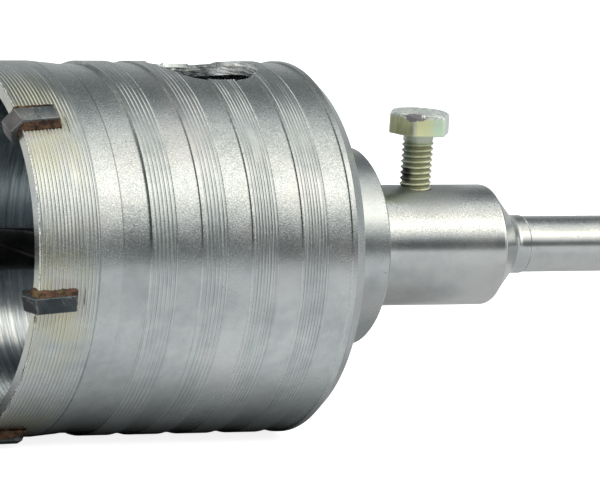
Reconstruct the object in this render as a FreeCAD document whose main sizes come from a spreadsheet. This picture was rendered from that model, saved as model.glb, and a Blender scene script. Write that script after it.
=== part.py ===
import FreeCAD, Part
import math
import os

import Sketcher

# Wall core drill bit: a turned cup with six brazed carbide tips, on an arbor with a pilot drill.
# Every piece is drawn with its local X axis on the drill's axis and local zero at the rim plane,
# +X towards the shank. The row's origin is the middle of the plain shank.

DIMS = {
    # barrel, from the rim to the rear face of its boss
    "barrel_radius": 32.5,
    "wall_thickness": 2.4,
    "cup_depth": 55.0,
    "base_thickness": 6.9,
    "corner_radius": 2.0,
    "rim_chamfer": 0.2,
    "rear_bevel_length": 2.4,
    "rear_bevel_depth": 2.0,
    "boss_radius": 17.4,
    "boss_length": 11.6,
    "boss_chamfer": 0.4,
    # bands turned on the outside of the barrel
    "front_band_length": 11.3,
    "front_taper_length": 4.4,
    "front_taper_depth": 0.4,
    "front_relief_depth": 0.55,
    "first_band_start": 20.75,
    "last_band_length": 0.95,
    "band_length": 5.0,
    "relief_depth": 0.3,
    # window through the wall, its centre ahead of the cup's floor
    "window_setback": 12.1,
    "window_radius": 9.4,
    # tip slots
    "first_slot_angle": -7.1,
    "slot_width": 4.0,
    "slot_length": 7.0,
    # carbide tips
    "tip_protrusion": 1.6,
    "tip_height": 5.7,
    "tip_thickness": 2.8,
    "tip_outer_length": 7.4,
    "tip_overhang": 0.75,
    "tip_ridge_drop": 2.85,
    "tip_ridge_rise": 1.4,
    "tip_inner_rise": 1.25,
    "tip_clearance_angle": 12.0,
    # braze round each tip
    "braze_spread": 0.75,
    "braze_crest": 0.25,
    "braze_front": 1.3,
    "braze_recess": 0.15,
    # arbor
    "spigot_radius": 8.0,
    "spigot_length": 17.0,
    "spigot_chamfer": 1.0,
    "hub_radius": 10.7,
    "hub_length": 26.45,
    "hub_chamfer": 0.4,
    "neck_radius": 5.2,
    "neck_length": 7.35,
    "neck_taper_length": 4.8,
    "neck_fillet": 2.6,
    "shank_radius": 5.0,
    "plain_shank_length": 22.0,
    "slotted_shank_length": 31.0,
    "shank_chamfer": 0.9,
    "drive_slot_width": 3.0,
    "drive_slot_depth": 1.5,
    "drive_slot_length": 27.5,
    "lock_groove_radius": 3.4,
    "lock_groove_depth": 1.6,
    "lock_groove_length": 18.5,
    "lock_groove_setback": 8.0,
    # pilot drill
    "pilot_reach": 26.0,
    "pilot_shank_radius": 4.0,
    "pilot_shank_length": 38.0,
    "pilot_body_radius": 3.6,
    "pilot_point_angle": 118.0,
    "pilot_fit_clearance": 0.03,
    "pilot_end_gap": 0.5,
    "flute_radius": 3.2,
    "flute_offset": 4.7,
    "flute_pitch": 60.0,
    "flute_end_gap": 7.7,
    "pilot_plate_set_back": 0.8,
    "pilot_plate_thickness": 1.8,
    "pilot_plate_width": 8.0,
    "pilot_plate_length": 7.0,
    "pilot_plate_angle": 130.0,
    # clamp bolt
    "bolt_setback": 12.4,
    "bolt_radius": 3.0,
    "bolt_hole_clearance": 0.05,
    "bolt_length": 16.0,
    "bolt_point_chamfer": 0.7,
    "bolt_head_height": 4.0,
    "bolt_head_flats": 10.0,
    "bolt_head_turn": -4.5,
    "bolt_head_face_radius": 4.75,
    "bolt_head_chamfer_angle": 30.0,
    "countersink_depth": 0.5,
}

BAND_COUNT = 5
TIP_COUNT = 6
HEX_SIDES = 6

# Sizes in mm closer than this count as the same.
SAME_SIZE = 1e-4

# How each tip was set by hand in its slot: shift along the rim in mm, and turn in degrees.
TIP_SETTINGS = ((0.15, 4.5), (-0.2, 5.5), (0.0, 5.0), (0.1, 4.0), (-0.1, 5.5), (0.15, 5.0))

# Places along the axis, from the rim plane.
BASE_REAR = "(Dims.cup_depth + Dims.base_thickness)"
BOSS_REAR = "(Dims.cup_depth + Dims.base_thickness + Dims.boss_length)"
HUB_REAR = f"({BOSS_REAR} + Dims.hub_length)"
TAPER_END = f"({HUB_REAR} + Dims.neck_taper_length)"
NECK_END = f"({HUB_REAR} + Dims.neck_length)"
PLAIN_END = f"({NECK_END} + Dims.plain_shank_length)"
SHANK_END = f"({PLAIN_END} + Dims.slotted_shank_length)"
ORIGIN_AT = f"({NECK_END} + Dims.plain_shank_length / 2)"
SPIGOT_FRONT = f"({BOSS_REAR} - Dims.spigot_length)"
BOLT_AT = f"({BOSS_REAR} + Dims.bolt_setback)"
PILOT_TAIL = f"(Dims.pilot_shank_length + {SPIGOT_FRONT})"
INNER_RADIUS = "(Dims.barrel_radius - Dims.wall_thickness)"
TIP_OUTER_RADIUS = "(Dims.barrel_radius + Dims.tip_protrusion)"
BAND_SPAN = f"({BASE_REAR} - Dims.rear_bevel_length - Dims.last_band_length - Dims.first_band_start)"
BAND_PITCH = f"({BAND_SPAN} / {BAND_COUNT - 1})"
WINDOW_CENTRE = "(Dims.cup_depth - Dims.window_setback)"
PLATE_MIDDLE = "(Dims.pilot_plate_length / 2 + Dims.flute_radius - Dims.pilot_plate_set_back)"
# The pilot's carbide plate stands across the lands, a quarter turn from the flutes beside it.
PLATE_TURN = f"(90 + 360 * {PLATE_MIDDLE} / Dims.flute_pitch)"
BORE_RADIUS = "(Dims.pilot_shank_radius + Dims.pilot_fit_clearance)"
BOLT_HOLE_RADIUS = "(Dims.bolt_radius + Dims.bolt_hole_clearance)"
BOLT_SEAT = "(Dims.pilot_shank_radius + Dims.bolt_length)"

doc = FreeCAD.newDocument("core_drill_bit")
sheet = doc.addObject("Spreadsheet::Sheet", "Dims")
for row, (alias, size) in enumerate(DIMS.items(), start=1):
    sheet.set(f"A{row}", alias)
    sheet.set(f"B{row}", str(size))
    sheet.setAlias(f"B{row}", alias)
doc.recompute()


def value(expression):
    """Number that a spreadsheet expression gives, in mm or degrees."""
    return float(sheet.evalExpression(expression))


def new_body(name):
    """Body whose local zero is the rim plane, at its place in the row's frame."""
    body = doc.addObject("PartDesign::Body", name)
    body.Label = name
    body.setExpression("Placement.Base.x", f"-{ORIGIN_AT}")
    return body


def origin_feature(body, role):
    """The body's own origin plane or axis that has this role."""
    return next(item for item in body.Origin.OriginFeatures if item.Role == role)


def new_sketch(body, name, plane, offset=None):
    """Empty sketch on one of the body's planes; offset gives expressions for its local place."""
    sketch = body.newObject("Sketcher::SketchObject", name)
    sketch.AttachmentSupport = [(origin_feature(body, plane), "")]
    sketch.MapMode = "FlatFace"
    for axis, expression in (offset or {}).items():
        sketch.setExpression(f"AttachmentOffset.Base.{axis}", expression)
    return sketch


def pin_point(sketch, edge, end, expressions):
    """Place one end of an edge at two expressions, measured from the sketch's origin."""
    for kind, expression in zip(("DistanceX", "DistanceY"), expressions):
        constraint = Sketcher.Constraint(kind, -1, 1, edge, end, value(expression))
        index = sketch.addConstraint(constraint)
        sketch.setExpression(f"Constraints[{index}]", expression)


def draw_outline(sketch, corners):
    """Closed outline of straight edges through corners given as pairs of expressions."""
    points = [FreeCAD.Vector(value(across), value(up), 0) for across, up in corners]
    first = sketch.GeometryCount
    count = len(points)
    for index, start in enumerate(points):
        end = points[(index + 1) % count]
        sketch.addGeometry(Part.LineSegment(start, end), False)
    for index in range(count):
        following = first + (index + 1) % count
        sketch.addConstraint(Sketcher.Constraint("Coincident", first + index, 2, following, 1))
        pin_point(sketch, first + index, 1, corners[index])


def draw_circle(sketch, centre, radius):
    """Circle whose centre and radius are expressions."""
    middle = FreeCAD.Vector(value(centre[0]), value(centre[1]), 0)
    circle = Part.Circle(middle, FreeCAD.Vector(0, 0, 1), value(radius))
    edge = sketch.addGeometry(circle, False)
    pin_point(sketch, edge, 3, centre)
    index = sketch.addConstraint(Sketcher.Constraint("Radius", edge, value(radius)))
    sketch.setExpression(f"Constraints[{index}]", radius)


def revolve(body, name, sketch, kind="Revolution", axis="X_Axis"):
    """Full turn of a sketch about one of the body's axes, added or cut."""
    feature = body.newObject(f"PartDesign::{kind}", name)
    feature.Profile = sketch
    feature.ReferenceAxis = (origin_feature(body, axis), [""])
    feature.Angle = 360.0
    return feature


def pocket(body, name, sketch, depth, midplane=False):
    """Cut of a sketch over a depth given as an expression, along the sketch's normal."""
    feature = body.newObject("PartDesign::Pocket", name)
    feature.Profile = sketch
    feature.setExpression("Length", depth)
    feature.Midplane = midplane
    feature.Reversed = True
    return feature


def pattern_round_axis(body, name, feature, count):
    """Equal copies of a feature about the drill's axis."""
    pattern = body.newObject("PartDesign::PolarPattern", name)
    pattern.Originals = [feature]
    pattern.Axis = (origin_feature(body, "X_Axis"), [""])
    pattern.Angle = 360.0
    pattern.Occurrences = count
    body.Tip = pattern
    return pattern


def circular_edges(shape, radius, place):
    """Names of the full-circle edges with this radius at this distance along the axis."""
    names = []
    for number, edge in enumerate(shape.Edges, start=1):
        if not isinstance(edge.Curve, Part.Circle):
            continue
        same_radius = abs(edge.Curve.Radius - radius) < SAME_SIZE
        if same_radius and abs(edge.CenterOfMass.x - place) < SAME_SIZE:
            names.append(f"Edge{number}")
    return names


def round_edge(body, name, base, radius, place, size):
    """Fillet the circular edge of a turned body at a radius and place along the axis."""
    doc.recompute()
    feature = body.newObject("PartDesign::Fillet", name)
    feature.Base = (base, circular_edges(base.Shape, value(radius), value(place)))
    feature.setExpression("Radius", size)
    return feature


def barrel_outline():
    """Half section of the cup: bore, base, boss and the bands turned on its outside."""
    radius = "Dims.barrel_radius"
    boss = "Dims.boss_radius"
    taper_end = "Dims.front_band_length + Dims.front_taper_length"
    front_relief = f"{radius} - Dims.front_relief_depth"
    outline = [
        ("0", f"{INNER_RADIUS} + Dims.rim_chamfer"),
        ("0", f"{radius} - Dims.rim_chamfer"),
        ("Dims.rim_chamfer", radius),
        ("Dims.front_band_length", radius),
        (taper_end, f"{radius} - Dims.front_taper_depth"),
        (taper_end, front_relief),
        ("Dims.first_band_start", front_relief),
    ]
    for band in range(BAND_COUNT):
        start = f"Dims.first_band_start + {band} * {BAND_PITCH}"
        outline.append((start, radius))
        if band < BAND_COUNT - 1:
            end = f"{start} + Dims.band_length"
            relief = f"{radius} - Dims.relief_depth"
            outline.append((end, radius))
            outline.append((end, relief))
            outline.append((f"{start} + {BAND_PITCH}", relief))
    outline += [
        (f"{BASE_REAR} - Dims.rear_bevel_length", radius),
        (BASE_REAR, f"{radius} - Dims.rear_bevel_depth"),
        (BASE_REAR, boss),
        (f"{BOSS_REAR} - Dims.boss_chamfer", boss),
        (BOSS_REAR, f"{boss} - Dims.boss_chamfer"),
        (BOSS_REAR, "Dims.spigot_radius"),
        ("Dims.cup_depth", "Dims.spigot_radius"),
        ("Dims.cup_depth", INNER_RADIUS),
        ("Dims.rim_chamfer", INNER_RADIUS),
    ]
    return outline


def make_barrel():
    """The turned cup with its base and boss, slotted for the tips and pierced by the window."""
    body = new_body("core_barrel")
    profile = new_sketch(body, "barrel_profile", "XZ_Plane")
    draw_outline(profile, barrel_outline())
    turned = revolve(body, "barrel_turned", profile)
    round_edge(body, "cup_corner", turned, INNER_RADIUS, "Dims.cup_depth", "Dims.corner_radius")

    window = new_sketch(body, "window_circle", "XY_Plane")
    draw_circle(window, (WINDOW_CENTRE, "0"), "Dims.window_radius")
    pocket(body, "window", window, "Dims.barrel_radius + Dims.wall_thickness")

    slot = new_sketch(body, "slot_outline", "XZ_Plane")
    draw_outline(slot, [
        ("-Dims.slot_length", f"{INNER_RADIUS} - Dims.wall_thickness"),
        ("-Dims.slot_length", "Dims.barrel_radius + Dims.wall_thickness"),
        ("Dims.slot_length", "Dims.barrel_radius + Dims.wall_thickness"),
        ("Dims.slot_length", f"{INNER_RADIUS} - Dims.wall_thickness"),
    ])
    turn_sketch(slot, seat_angle(0))
    first = pocket(body, "tip_slot", slot, "Dims.slot_width", midplane=True)
    pattern_round_axis(body, "tip_slots", first, TIP_COUNT)
    return body


def seat_angle(index):
    """Expression for a slot's turn about the axis, from straight up, towards the near side."""
    return f"(90 - Dims.first_slot_angle - {index} * 360 / {TIP_COUNT})"


def turn_sketch(sketch, angle):
    """Turn a sketch that lies in the upright plane about the drill's axis."""
    sketch.AttachmentOffset = FreeCAD.Placement(
        FreeCAD.Vector(), FreeCAD.Rotation(FreeCAD.Vector(1, 0, 0), value(angle)))
    sketch.setExpression("AttachmentOffset.Rotation.Angle", angle)


def place_seat(item, index, shift=0.0, skew=0.0):
    """Put an item in its slot: turned about the axis, with the tip's own shift and skew."""
    seat = FreeCAD.Rotation(FreeCAD.Vector(1, 0, 0), value(seat_angle(index)))
    middle = FreeCAD.Vector(value("Dims.tip_outer_length / 2 - Dims.tip_overhang"), 0, 0)
    hand = FreeCAD.Rotation(FreeCAD.Vector(0, 0, 1), skew)
    setting = FreeCAD.Placement(FreeCAD.Vector(0, shift, 0), hand, middle)
    whole = FreeCAD.Placement(FreeCAD.Vector(-value(ORIGIN_AT), 0, 0), seat)
    item.setExpression("Placement.Base.x", None)
    item.Placement = whole.multiply(setting)


def tip_section(side):
    """Outline of a tip along the axis and outwards, at its leading (1) or trailing (-1) face."""
    skew = f"({side} * Dims.tip_thickness / 2 * tan(Dims.tip_clearance_angle))"
    outer = TIP_OUTER_RADIUS
    front = f"-Dims.tip_overhang - {skew}"
    ridge = f"{front} - Dims.tip_ridge_rise"
    rear = "Dims.tip_outer_length - Dims.tip_overhang"
    inner = f"{outer} - Dims.tip_height"
    return [
        (front, outer),
        (rear, outer),
        (rear, inner),
        (f"{ridge} + Dims.tip_inner_rise", inner),
        (ridge, f"{outer} - Dims.tip_ridge_drop"),
    ]


def make_tip(index):
    """One carbide tip: a block with a roof-shaped cutting front, ground back behind its edge."""
    name = f"carbide_tip_{index + 1}"
    body = new_body(name)
    faces = []
    for side in (1, -1):
        offset = {"z": f"-{side} * Dims.tip_thickness / 2"}
        sketch = new_sketch(body, f"{name}_face_{side + 2}", "XZ_Plane", offset)
        draw_outline(sketch, tip_section(side))
        faces.append(sketch)
    loft_between(body, f"{name}_block", faces)
    shift, skew = TIP_SETTINGS[index]
    place_seat(body, index, shift, skew)
    return body


def loft_between(body, name, sketches):
    """Straight-sided solid between two outlines on parallel planes."""
    loft = body.newObject("PartDesign::AdditiveLoft", name)
    loft.Profile = sketches[0]
    loft.Sections = sketches[1:]
    loft.Ruled = True
    return loft


def braze_outline(front, shoulder, rear, nose, half_width):
    """Flow outline seen from outside: pointed towards the mouth, square at the rear."""
    return [
        (front, f"-({nose})"),
        (shoulder, f"-({half_width})"),
        (rear, f"-({half_width})"),
        (rear, half_width),
        (shoulder, half_width),
        (front, nose),
    ]


def make_braze(index, tip, core):
    """Braze of one tip: it fills the slot round the tip and rises in a bead against its sides."""
    name = f"braze_{index + 1}"
    body = new_body(f"{name}_flow")
    tip_half = "Dims.tip_thickness / 2"
    spread = "Dims.slot_width / 2 + Dims.braze_spread"
    foot = f"{INNER_RADIUS} + Dims.braze_recess"
    level = "Dims.barrel_radius - Dims.braze_recess"
    crest = f"{TIP_OUTER_RADIUS} - Dims.braze_crest"
    rear = "Dims.slot_length + Dims.braze_spread / 2"
    crest_rear = "Dims.tip_outer_length - Dims.tip_overhang + Dims.braze_recess"
    nose = f"{tip_half} / 2"
    wide = braze_outline("-Dims.braze_front", "0", rear, nose, spread)
    narrow = braze_outline("-Dims.tip_overhang / 2", "0", crest_rear,
                           nose, f"{tip_half} + Dims.braze_crest")
    filling = new_sketch(body, f"{name}_filling_outline", "XY_Plane", {"z": foot})
    draw_outline(filling, wide)
    pad = body.newObject("PartDesign::Pad", f"{name}_filling")
    pad.Profile = filling
    pad.setExpression("Length", f"{level} - ({foot})")
    bead = [new_sketch(body, f"{name}_bead_foot", "XY_Plane", {"z": level}),
            new_sketch(body, f"{name}_bead_crest", "XY_Plane", {"z": crest})]
    draw_outline(bead[0], wide)
    draw_outline(bead[1], narrow)
    loft_between(body, f"{name}_bead", bead)
    place_seat(body, index)
    return cut_away(cut_away(body, tip, f"{name}_round_tip"), core, name)


def cut_away(item, tool, name):
    """What is left of one solid when another is taken away from it."""
    cut = doc.addObject("Part::Cut", name)
    cut.Label = name
    cut.Base = item
    cut.Tool = tool
    return cut


def make_arbor():
    """Spigot, hub, neck and shank from one bar, with the pilot's bore and the bolt's hole."""
    body = new_body("arbor")
    bore_end = f"{PILOT_TAIL} + Dims.pilot_end_gap"
    bore_cone = f"{BORE_RADIUS} / tan(Dims.pilot_point_angle / 2)"
    profile = new_sketch(body, "arbor_profile", "XZ_Plane")
    draw_outline(profile, [
        (SPIGOT_FRONT, BORE_RADIUS),
        (SPIGOT_FRONT, "Dims.spigot_radius - Dims.spigot_chamfer"),
        (f"{SPIGOT_FRONT} + Dims.spigot_chamfer", "Dims.spigot_radius"),
        (BOSS_REAR, "Dims.spigot_radius"),
        (BOSS_REAR, "Dims.hub_radius"),
        (f"{HUB_REAR} - Dims.hub_chamfer", "Dims.hub_radius"),
        (HUB_REAR, "Dims.hub_radius - Dims.hub_chamfer"),
        (TAPER_END, "Dims.neck_radius"),
        (NECK_END, "Dims.neck_radius"),
        (NECK_END, "Dims.shank_radius"),
        (f"{SHANK_END} - Dims.shank_chamfer", "Dims.shank_radius"),
        (SHANK_END, "Dims.shank_radius - Dims.shank_chamfer"),
        (SHANK_END, "0"),
        (f"{bore_end} + {bore_cone}", "0"),
        (bore_end, BORE_RADIUS),
    ])
    turned = revolve(body, "arbor_turned", profile)
    round_edge(body, "neck_root", turned, "Dims.neck_radius", TAPER_END, "Dims.neck_fillet")
    cut_bolt_hole(body)
    cut_drive_slots(body)
    cut_lock_grooves(body)
    return body


def cut_bolt_hole(body):
    """Hole for the clamp bolt, from the hub's top to the bore, with a shallow countersink."""
    side = BOLT_HOLE_RADIUS
    flare = f"{side} + 2 * Dims.countersink_depth"
    section = new_sketch(body, "bolt_hole_section", "XZ_Plane", {"x": BOLT_AT})
    draw_outline(section, [
        ("0", "0"),
        (side, "0"),
        (side, "Dims.hub_radius - Dims.countersink_depth"),
        (flare, "Dims.hub_radius + Dims.countersink_depth"),
        ("0", "Dims.hub_radius + Dims.countersink_depth"),
    ])
    groove = body.newObject("PartDesign::Groove", "bolt_hole")
    groove.Profile = section
    groove.ReferenceAxis = (section, ["V_Axis"])
    groove.Angle = 360.0


def cut_drive_slots(body):
    """Two slots that run out of the shank's end and take the chuck's driving keys."""
    start = f"{SHANK_END} - Dims.drive_slot_length"
    floor = "Dims.shank_radius - Dims.drive_slot_depth"
    above = "Dims.shank_radius + Dims.drive_slot_depth"
    outline = new_sketch(body, "drive_slot_outline", "XZ_Plane")
    draw_outline(outline, [
        (start, above),
        (f"{start} + 2 * Dims.drive_slot_depth", floor),
        (f"{SHANK_END} + Dims.drive_slot_depth", floor),
        (f"{SHANK_END} + Dims.drive_slot_depth", above),
    ])
    slot = pocket(body, "drive_slot", outline, "Dims.drive_slot_width", midplane=True)
    pattern_round_axis(body, "drive_slots", slot, 2)


def cut_lock_grooves(body):
    """Two closed round-bottomed grooves at the shank's sides for the chuck's locking balls."""
    groove_end = f"{SHANK_END} - Dims.lock_groove_setback"
    offset = {"x": f"{groove_end} - Dims.lock_groove_length",
              "z": "Dims.shank_radius - Dims.lock_groove_depth + Dims.lock_groove_radius"}
    section = new_sketch(body, "lock_groove_section", "XZ_Plane", offset)
    draw_capsule_half(section, "Dims.lock_groove_radius", "Dims.lock_groove_length")
    groove = body.newObject("PartDesign::Groove", "lock_groove")
    groove.Profile = section
    groove.ReferenceAxis = (section, ["H_Axis"])
    groove.Angle = 360.0
    pattern_round_axis(body, "lock_grooves", groove, 2)


def draw_capsule_half(sketch, radius, length):
    """Half of a round-ended bar lying on the sketch's horizontal axis from zero to its length."""
    size = value(radius)
    long = value(length)
    up = FreeCAD.Vector(0, 0, 1)
    rear_centre = FreeCAD.Vector(long - size, 0, 0)
    front_centre = FreeCAD.Vector(size, 0, 0)
    quarter = math.pi / 2
    rear = Part.ArcOfCircle(Part.Circle(rear_centre, up, size), 0.0, quarter)
    front = Part.ArcOfCircle(Part.Circle(front_centre, up, size), quarter, 2 * quarter)
    top = Part.LineSegment(FreeCAD.Vector(long - size, size, 0), FreeCAD.Vector(size, size, 0))
    base = Part.LineSegment(FreeCAD.Vector(0, 0, 0), FreeCAD.Vector(long, 0, 0))
    for edge in (rear, top, front, base):
        sketch.addGeometry(edge, False)
    for edge, following in ((0, 1), (1, 2), (2, 3), (3, 0)):
        sketch.addConstraint(Sketcher.Constraint("Coincident", edge, 2, following, 1))
    pin_point(sketch, 0, 3, (f"{length} - {radius}", "0"))
    pin_point(sketch, 2, 3, (radius, "0"))
    pin_point(sketch, 3, 1, ("0", "0"))
    pin_point(sketch, 3, 2, (length, "0"))


def make_pilot_drill():
    """Fluted pilot drill with a round tail that the arbor holds and a slot for its carbide."""
    body = new_body("pilot_drill")
    front = "(Dims.pilot_plate_set_back - Dims.pilot_reach)"
    nose = "Dims.pilot_body_radius / tan(Dims.pilot_point_angle / 2)"
    profile = new_sketch(body, "pilot_profile", "XZ_Plane")
    draw_outline(profile, [
        (front, "0"),
        (f"{front} + {nose}", "Dims.pilot_body_radius"),
        (SPIGOT_FRONT, "Dims.pilot_body_radius"),
        (SPIGOT_FRONT, "Dims.pilot_shank_radius"),
        (PILOT_TAIL, "Dims.pilot_shank_radius"),
        (PILOT_TAIL, "0"),
    ])
    revolve(body, "pilot_turned", profile)
    cut_flutes(body, front)
    cut_plate_slot(body)
    return body


def cut_flutes(body, front):
    """Two helical flutes from the point to a gap before the arbor."""
    start = f"{front} - Dims.flute_radius"
    section = new_sketch(body, "flute_section", "YZ_Plane", {"z": start})
    draw_circle(section, ("0", "Dims.flute_offset"), "Dims.flute_radius")
    flute = body.newObject("PartDesign::SubtractiveHelix", "flute")
    flute.Profile = section
    flute.ReferenceAxis = (origin_feature(body, "X_Axis"), [""])
    flute.Mode = "pitch-height-angle"
    flute.setExpression("Pitch", "Dims.flute_pitch")
    flute.setExpression("Height", f"{SPIGOT_FRONT} - Dims.flute_end_gap - ({start})")
    flute.Angle = 0.0
    flute.LeftHanded = False
    flute.Reversed = False
    pattern_round_axis(body, "flutes", flute, 2)


def plate_outline():
    """Pilot carbide plate from the side: a strip with a pointed front."""
    apex = "-Dims.pilot_reach"
    half = "Dims.pilot_plate_width / 2"
    shoulder = f"{apex} + {half} / tan(Dims.pilot_plate_angle / 2)"
    rear = f"{apex} + Dims.pilot_plate_length"
    return [
        (apex, "0"),
        (shoulder, half),
        (rear, half),
        (rear, f"-{half}"),
        (shoulder, f"-{half}"),
    ]


def cut_plate_slot(body):
    """Slot across the pilot's front, as wide as the carbide plate."""
    rear = "Dims.pilot_plate_length - Dims.pilot_reach"
    mouth = "-Dims.pilot_reach - Dims.pilot_plate_length"
    slot = new_sketch(body, "plate_slot_outline", "XZ_Plane")
    draw_outline(slot, [
        (mouth, "Dims.pilot_plate_width"),
        (rear, "Dims.pilot_plate_width"),
        (rear, "-Dims.pilot_plate_width"),
        (mouth, "-Dims.pilot_plate_width"),
    ])
    turn_sketch(slot, PLATE_TURN)
    pocket(body, "plate_slot", slot, "Dims.pilot_plate_thickness", midplane=True)


def make_pilot_tip():
    """Carbide plate set across the pilot drill's point."""
    body = new_body("pilot_tip")
    outline = new_sketch(body, "plate_outline", "XZ_Plane")
    draw_outline(outline, plate_outline())
    turn_sketch(outline, PLATE_TURN)
    pad = body.newObject("PartDesign::Pad", "plate")
    pad.Profile = outline
    pad.setExpression("Length", "Dims.pilot_plate_thickness")
    pad.Midplane = True
    return body


def make_clamp_bolt():
    """Hex-head bolt through the hub, its point on the pilot drill's tail."""
    body = doc.addObject("PartDesign::Body", "clamp_bolt")
    body.Label = "clamp_bolt"
    turn = FreeCAD.Rotation(FreeCAD.Vector(0, 0, 1), value("Dims.bolt_head_turn"))
    body.Placement = FreeCAD.Placement(FreeCAD.Vector(), turn)
    body.setExpression("Placement.Base.x", f"{BOLT_AT} - {ORIGIN_AT}")
    body.setExpression("Placement.Rotation.Angle", "Dims.bolt_head_turn")

    point = "Dims.pilot_shank_radius"
    profile = new_sketch(body, "bolt_profile", "XZ_Plane")
    draw_outline(profile, [
        ("0", point),
        ("Dims.bolt_radius - Dims.bolt_point_chamfer", point),
        ("Dims.bolt_radius", f"{point} + Dims.bolt_point_chamfer"),
        ("Dims.bolt_radius", BOLT_SEAT),
        ("0", BOLT_SEAT),
    ])
    revolve(body, "bolt_shank", profile, axis="Z_Axis")

    head = new_sketch(body, "bolt_head_outline", "XY_Plane", {"z": BOLT_SEAT})
    corner = f"(Dims.bolt_head_flats / 2 / cos(180 / {HEX_SIDES}))"
    turns = [360 / HEX_SIDES * side for side in range(HEX_SIDES)]
    draw_outline(head, [(f"{corner} * cos({turn})", f"{corner} * sin({turn})") for turn in turns])
    pad = body.newObject("PartDesign::Pad", "bolt_head")
    pad.Profile = head
    pad.setExpression("Length", "Dims.bolt_head_height")

    top = f"{BOLT_SEAT} + Dims.bolt_head_height"
    face = "Dims.bolt_head_face_radius"
    beyond = "Dims.bolt_head_flats / 2"
    bevel = new_sketch(body, "bolt_head_bevel", "XZ_Plane")
    draw_outline(bevel, [
        (face, top),
        (f"{face} + {beyond}", f"{top} - {beyond} * tan(Dims.bolt_head_chamfer_angle)"),
        (f"{face} + {beyond}", top),
    ])
    revolve(body, "bolt_head_corners", bevel, kind="Groove", axis="Z_Axis")
    return body


def check_document():
    """Stop if any object of the document failed."""
    for item in doc.Objects:
        if "Invalid" in item.State or "Error" in item.State:
            raise RuntimeError(f"{item.Name} failed: {item.State}")


def export(piece):
    """Write one piece's solid, after testing it."""
    shape = piece.Shape
    if shape.isNull() or not shape.isValid() or len(shape.Solids) != 1:
        raise RuntimeError(f"{piece.Label} is not one valid solid")
    shape.exportStep(f"parts/{piece.Label}.step")
    print(f"{piece.Label}: {shape.Volume:.1f} mm3")


core = make_barrel()
arbor = make_arbor()
pilot_drill = make_pilot_drill()
pilot_tip = make_pilot_tip()
clamp_bolt = make_clamp_bolt()
tips = [make_tip(index) for index in range(TIP_COUNT)]
brazes = [make_braze(index, tip, core) for index, tip in enumerate(tips)]
doc.recompute()
check_document()

os.makedirs("parts", exist_ok=True)
for piece in [core, arbor, pilot_drill, pilot_tip, clamp_bolt] + tips + brazes:
    export(piece)
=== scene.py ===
"""Looks of the wall core drill bit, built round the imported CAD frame.

Sizes are in millimetres, along the drill's axis from the rim plane of the barrel (+X towards the
shank), until a mesh is made; the meshes themselves are in metres, in the frame's own coordinates.
"""

import logging
import math
from collections.abc import Sequence
from dataclasses import dataclass
from enum import Enum

import bpy
import numpy as np
from mathutils import Matrix, Vector


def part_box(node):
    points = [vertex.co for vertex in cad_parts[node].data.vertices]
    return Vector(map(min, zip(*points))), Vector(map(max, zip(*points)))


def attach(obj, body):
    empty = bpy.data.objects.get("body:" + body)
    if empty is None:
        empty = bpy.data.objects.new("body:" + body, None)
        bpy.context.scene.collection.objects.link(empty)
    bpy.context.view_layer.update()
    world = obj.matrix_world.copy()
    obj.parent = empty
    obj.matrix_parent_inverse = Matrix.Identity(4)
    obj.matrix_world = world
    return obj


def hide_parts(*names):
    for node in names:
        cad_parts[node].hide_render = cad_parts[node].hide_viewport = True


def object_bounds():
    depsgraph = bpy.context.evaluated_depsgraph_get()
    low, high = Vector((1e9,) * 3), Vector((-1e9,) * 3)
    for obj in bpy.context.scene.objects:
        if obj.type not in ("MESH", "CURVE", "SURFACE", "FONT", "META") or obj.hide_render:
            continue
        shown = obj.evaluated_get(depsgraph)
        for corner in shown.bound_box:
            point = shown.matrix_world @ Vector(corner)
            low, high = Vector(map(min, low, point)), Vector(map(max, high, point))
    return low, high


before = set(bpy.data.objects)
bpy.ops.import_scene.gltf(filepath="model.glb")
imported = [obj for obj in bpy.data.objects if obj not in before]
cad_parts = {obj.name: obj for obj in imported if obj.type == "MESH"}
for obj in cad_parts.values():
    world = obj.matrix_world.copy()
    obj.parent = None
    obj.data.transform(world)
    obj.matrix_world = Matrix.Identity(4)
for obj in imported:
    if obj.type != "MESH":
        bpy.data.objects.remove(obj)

log = logging.getLogger("core_drill_bit")

MM = 0.001
CAD_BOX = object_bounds()
RIM_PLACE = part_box("core_barrel")[0][0] / MM
FLOOR_HEIGHT = CAD_BOX[0][2]
BODY = "root"
TIP_COUNT = 6
X_AXIS = np.array([1.0, 0.0, 0.0])
Z_AXIS = np.array([0.0, 0.0, 1.0])
WHITE = (1.0, 1.0, 1.0)


@dataclass(frozen=True)
class BitSizes:
    """Sizes that more than one piece or finish takes."""

    barrel_radius: float = 32.5
    bore: float = 30.1
    cup_depth: float = 55.0
    front_step: float = 15.7
    first_band: float = 20.75
    last_band: float = 58.55
    band_count: int = 5
    window_centre: float = 42.9
    window_radius: float = 9.4
    spigot_front: float = 56.5
    spigot_radius: float = 8.0
    boss_rear: float = 73.5
    bolt_place: float = 85.9
    bolt_seat: float = 20.0
    thread_radius: float = 2.8
    head_corner: float = 5.62

    @property
    def band_pitch(self) -> float:
        """Distance from one turned band to the next."""
        return (self.last_band - self.first_band) / (self.band_count - 1)


SIZES = BitSizes()


class Shade(Enum):
    """How the faces of one surface take their normals."""

    ROUND_X = 0
    FLAT = 1
    ROUND_Z = 2
    SIDE_GROOVE = 3


@dataclass
class Turning:
    """Axis that a round surface is smooth about: a point on it and its direction."""

    origin: np.ndarray
    direction: np.ndarray


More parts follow.
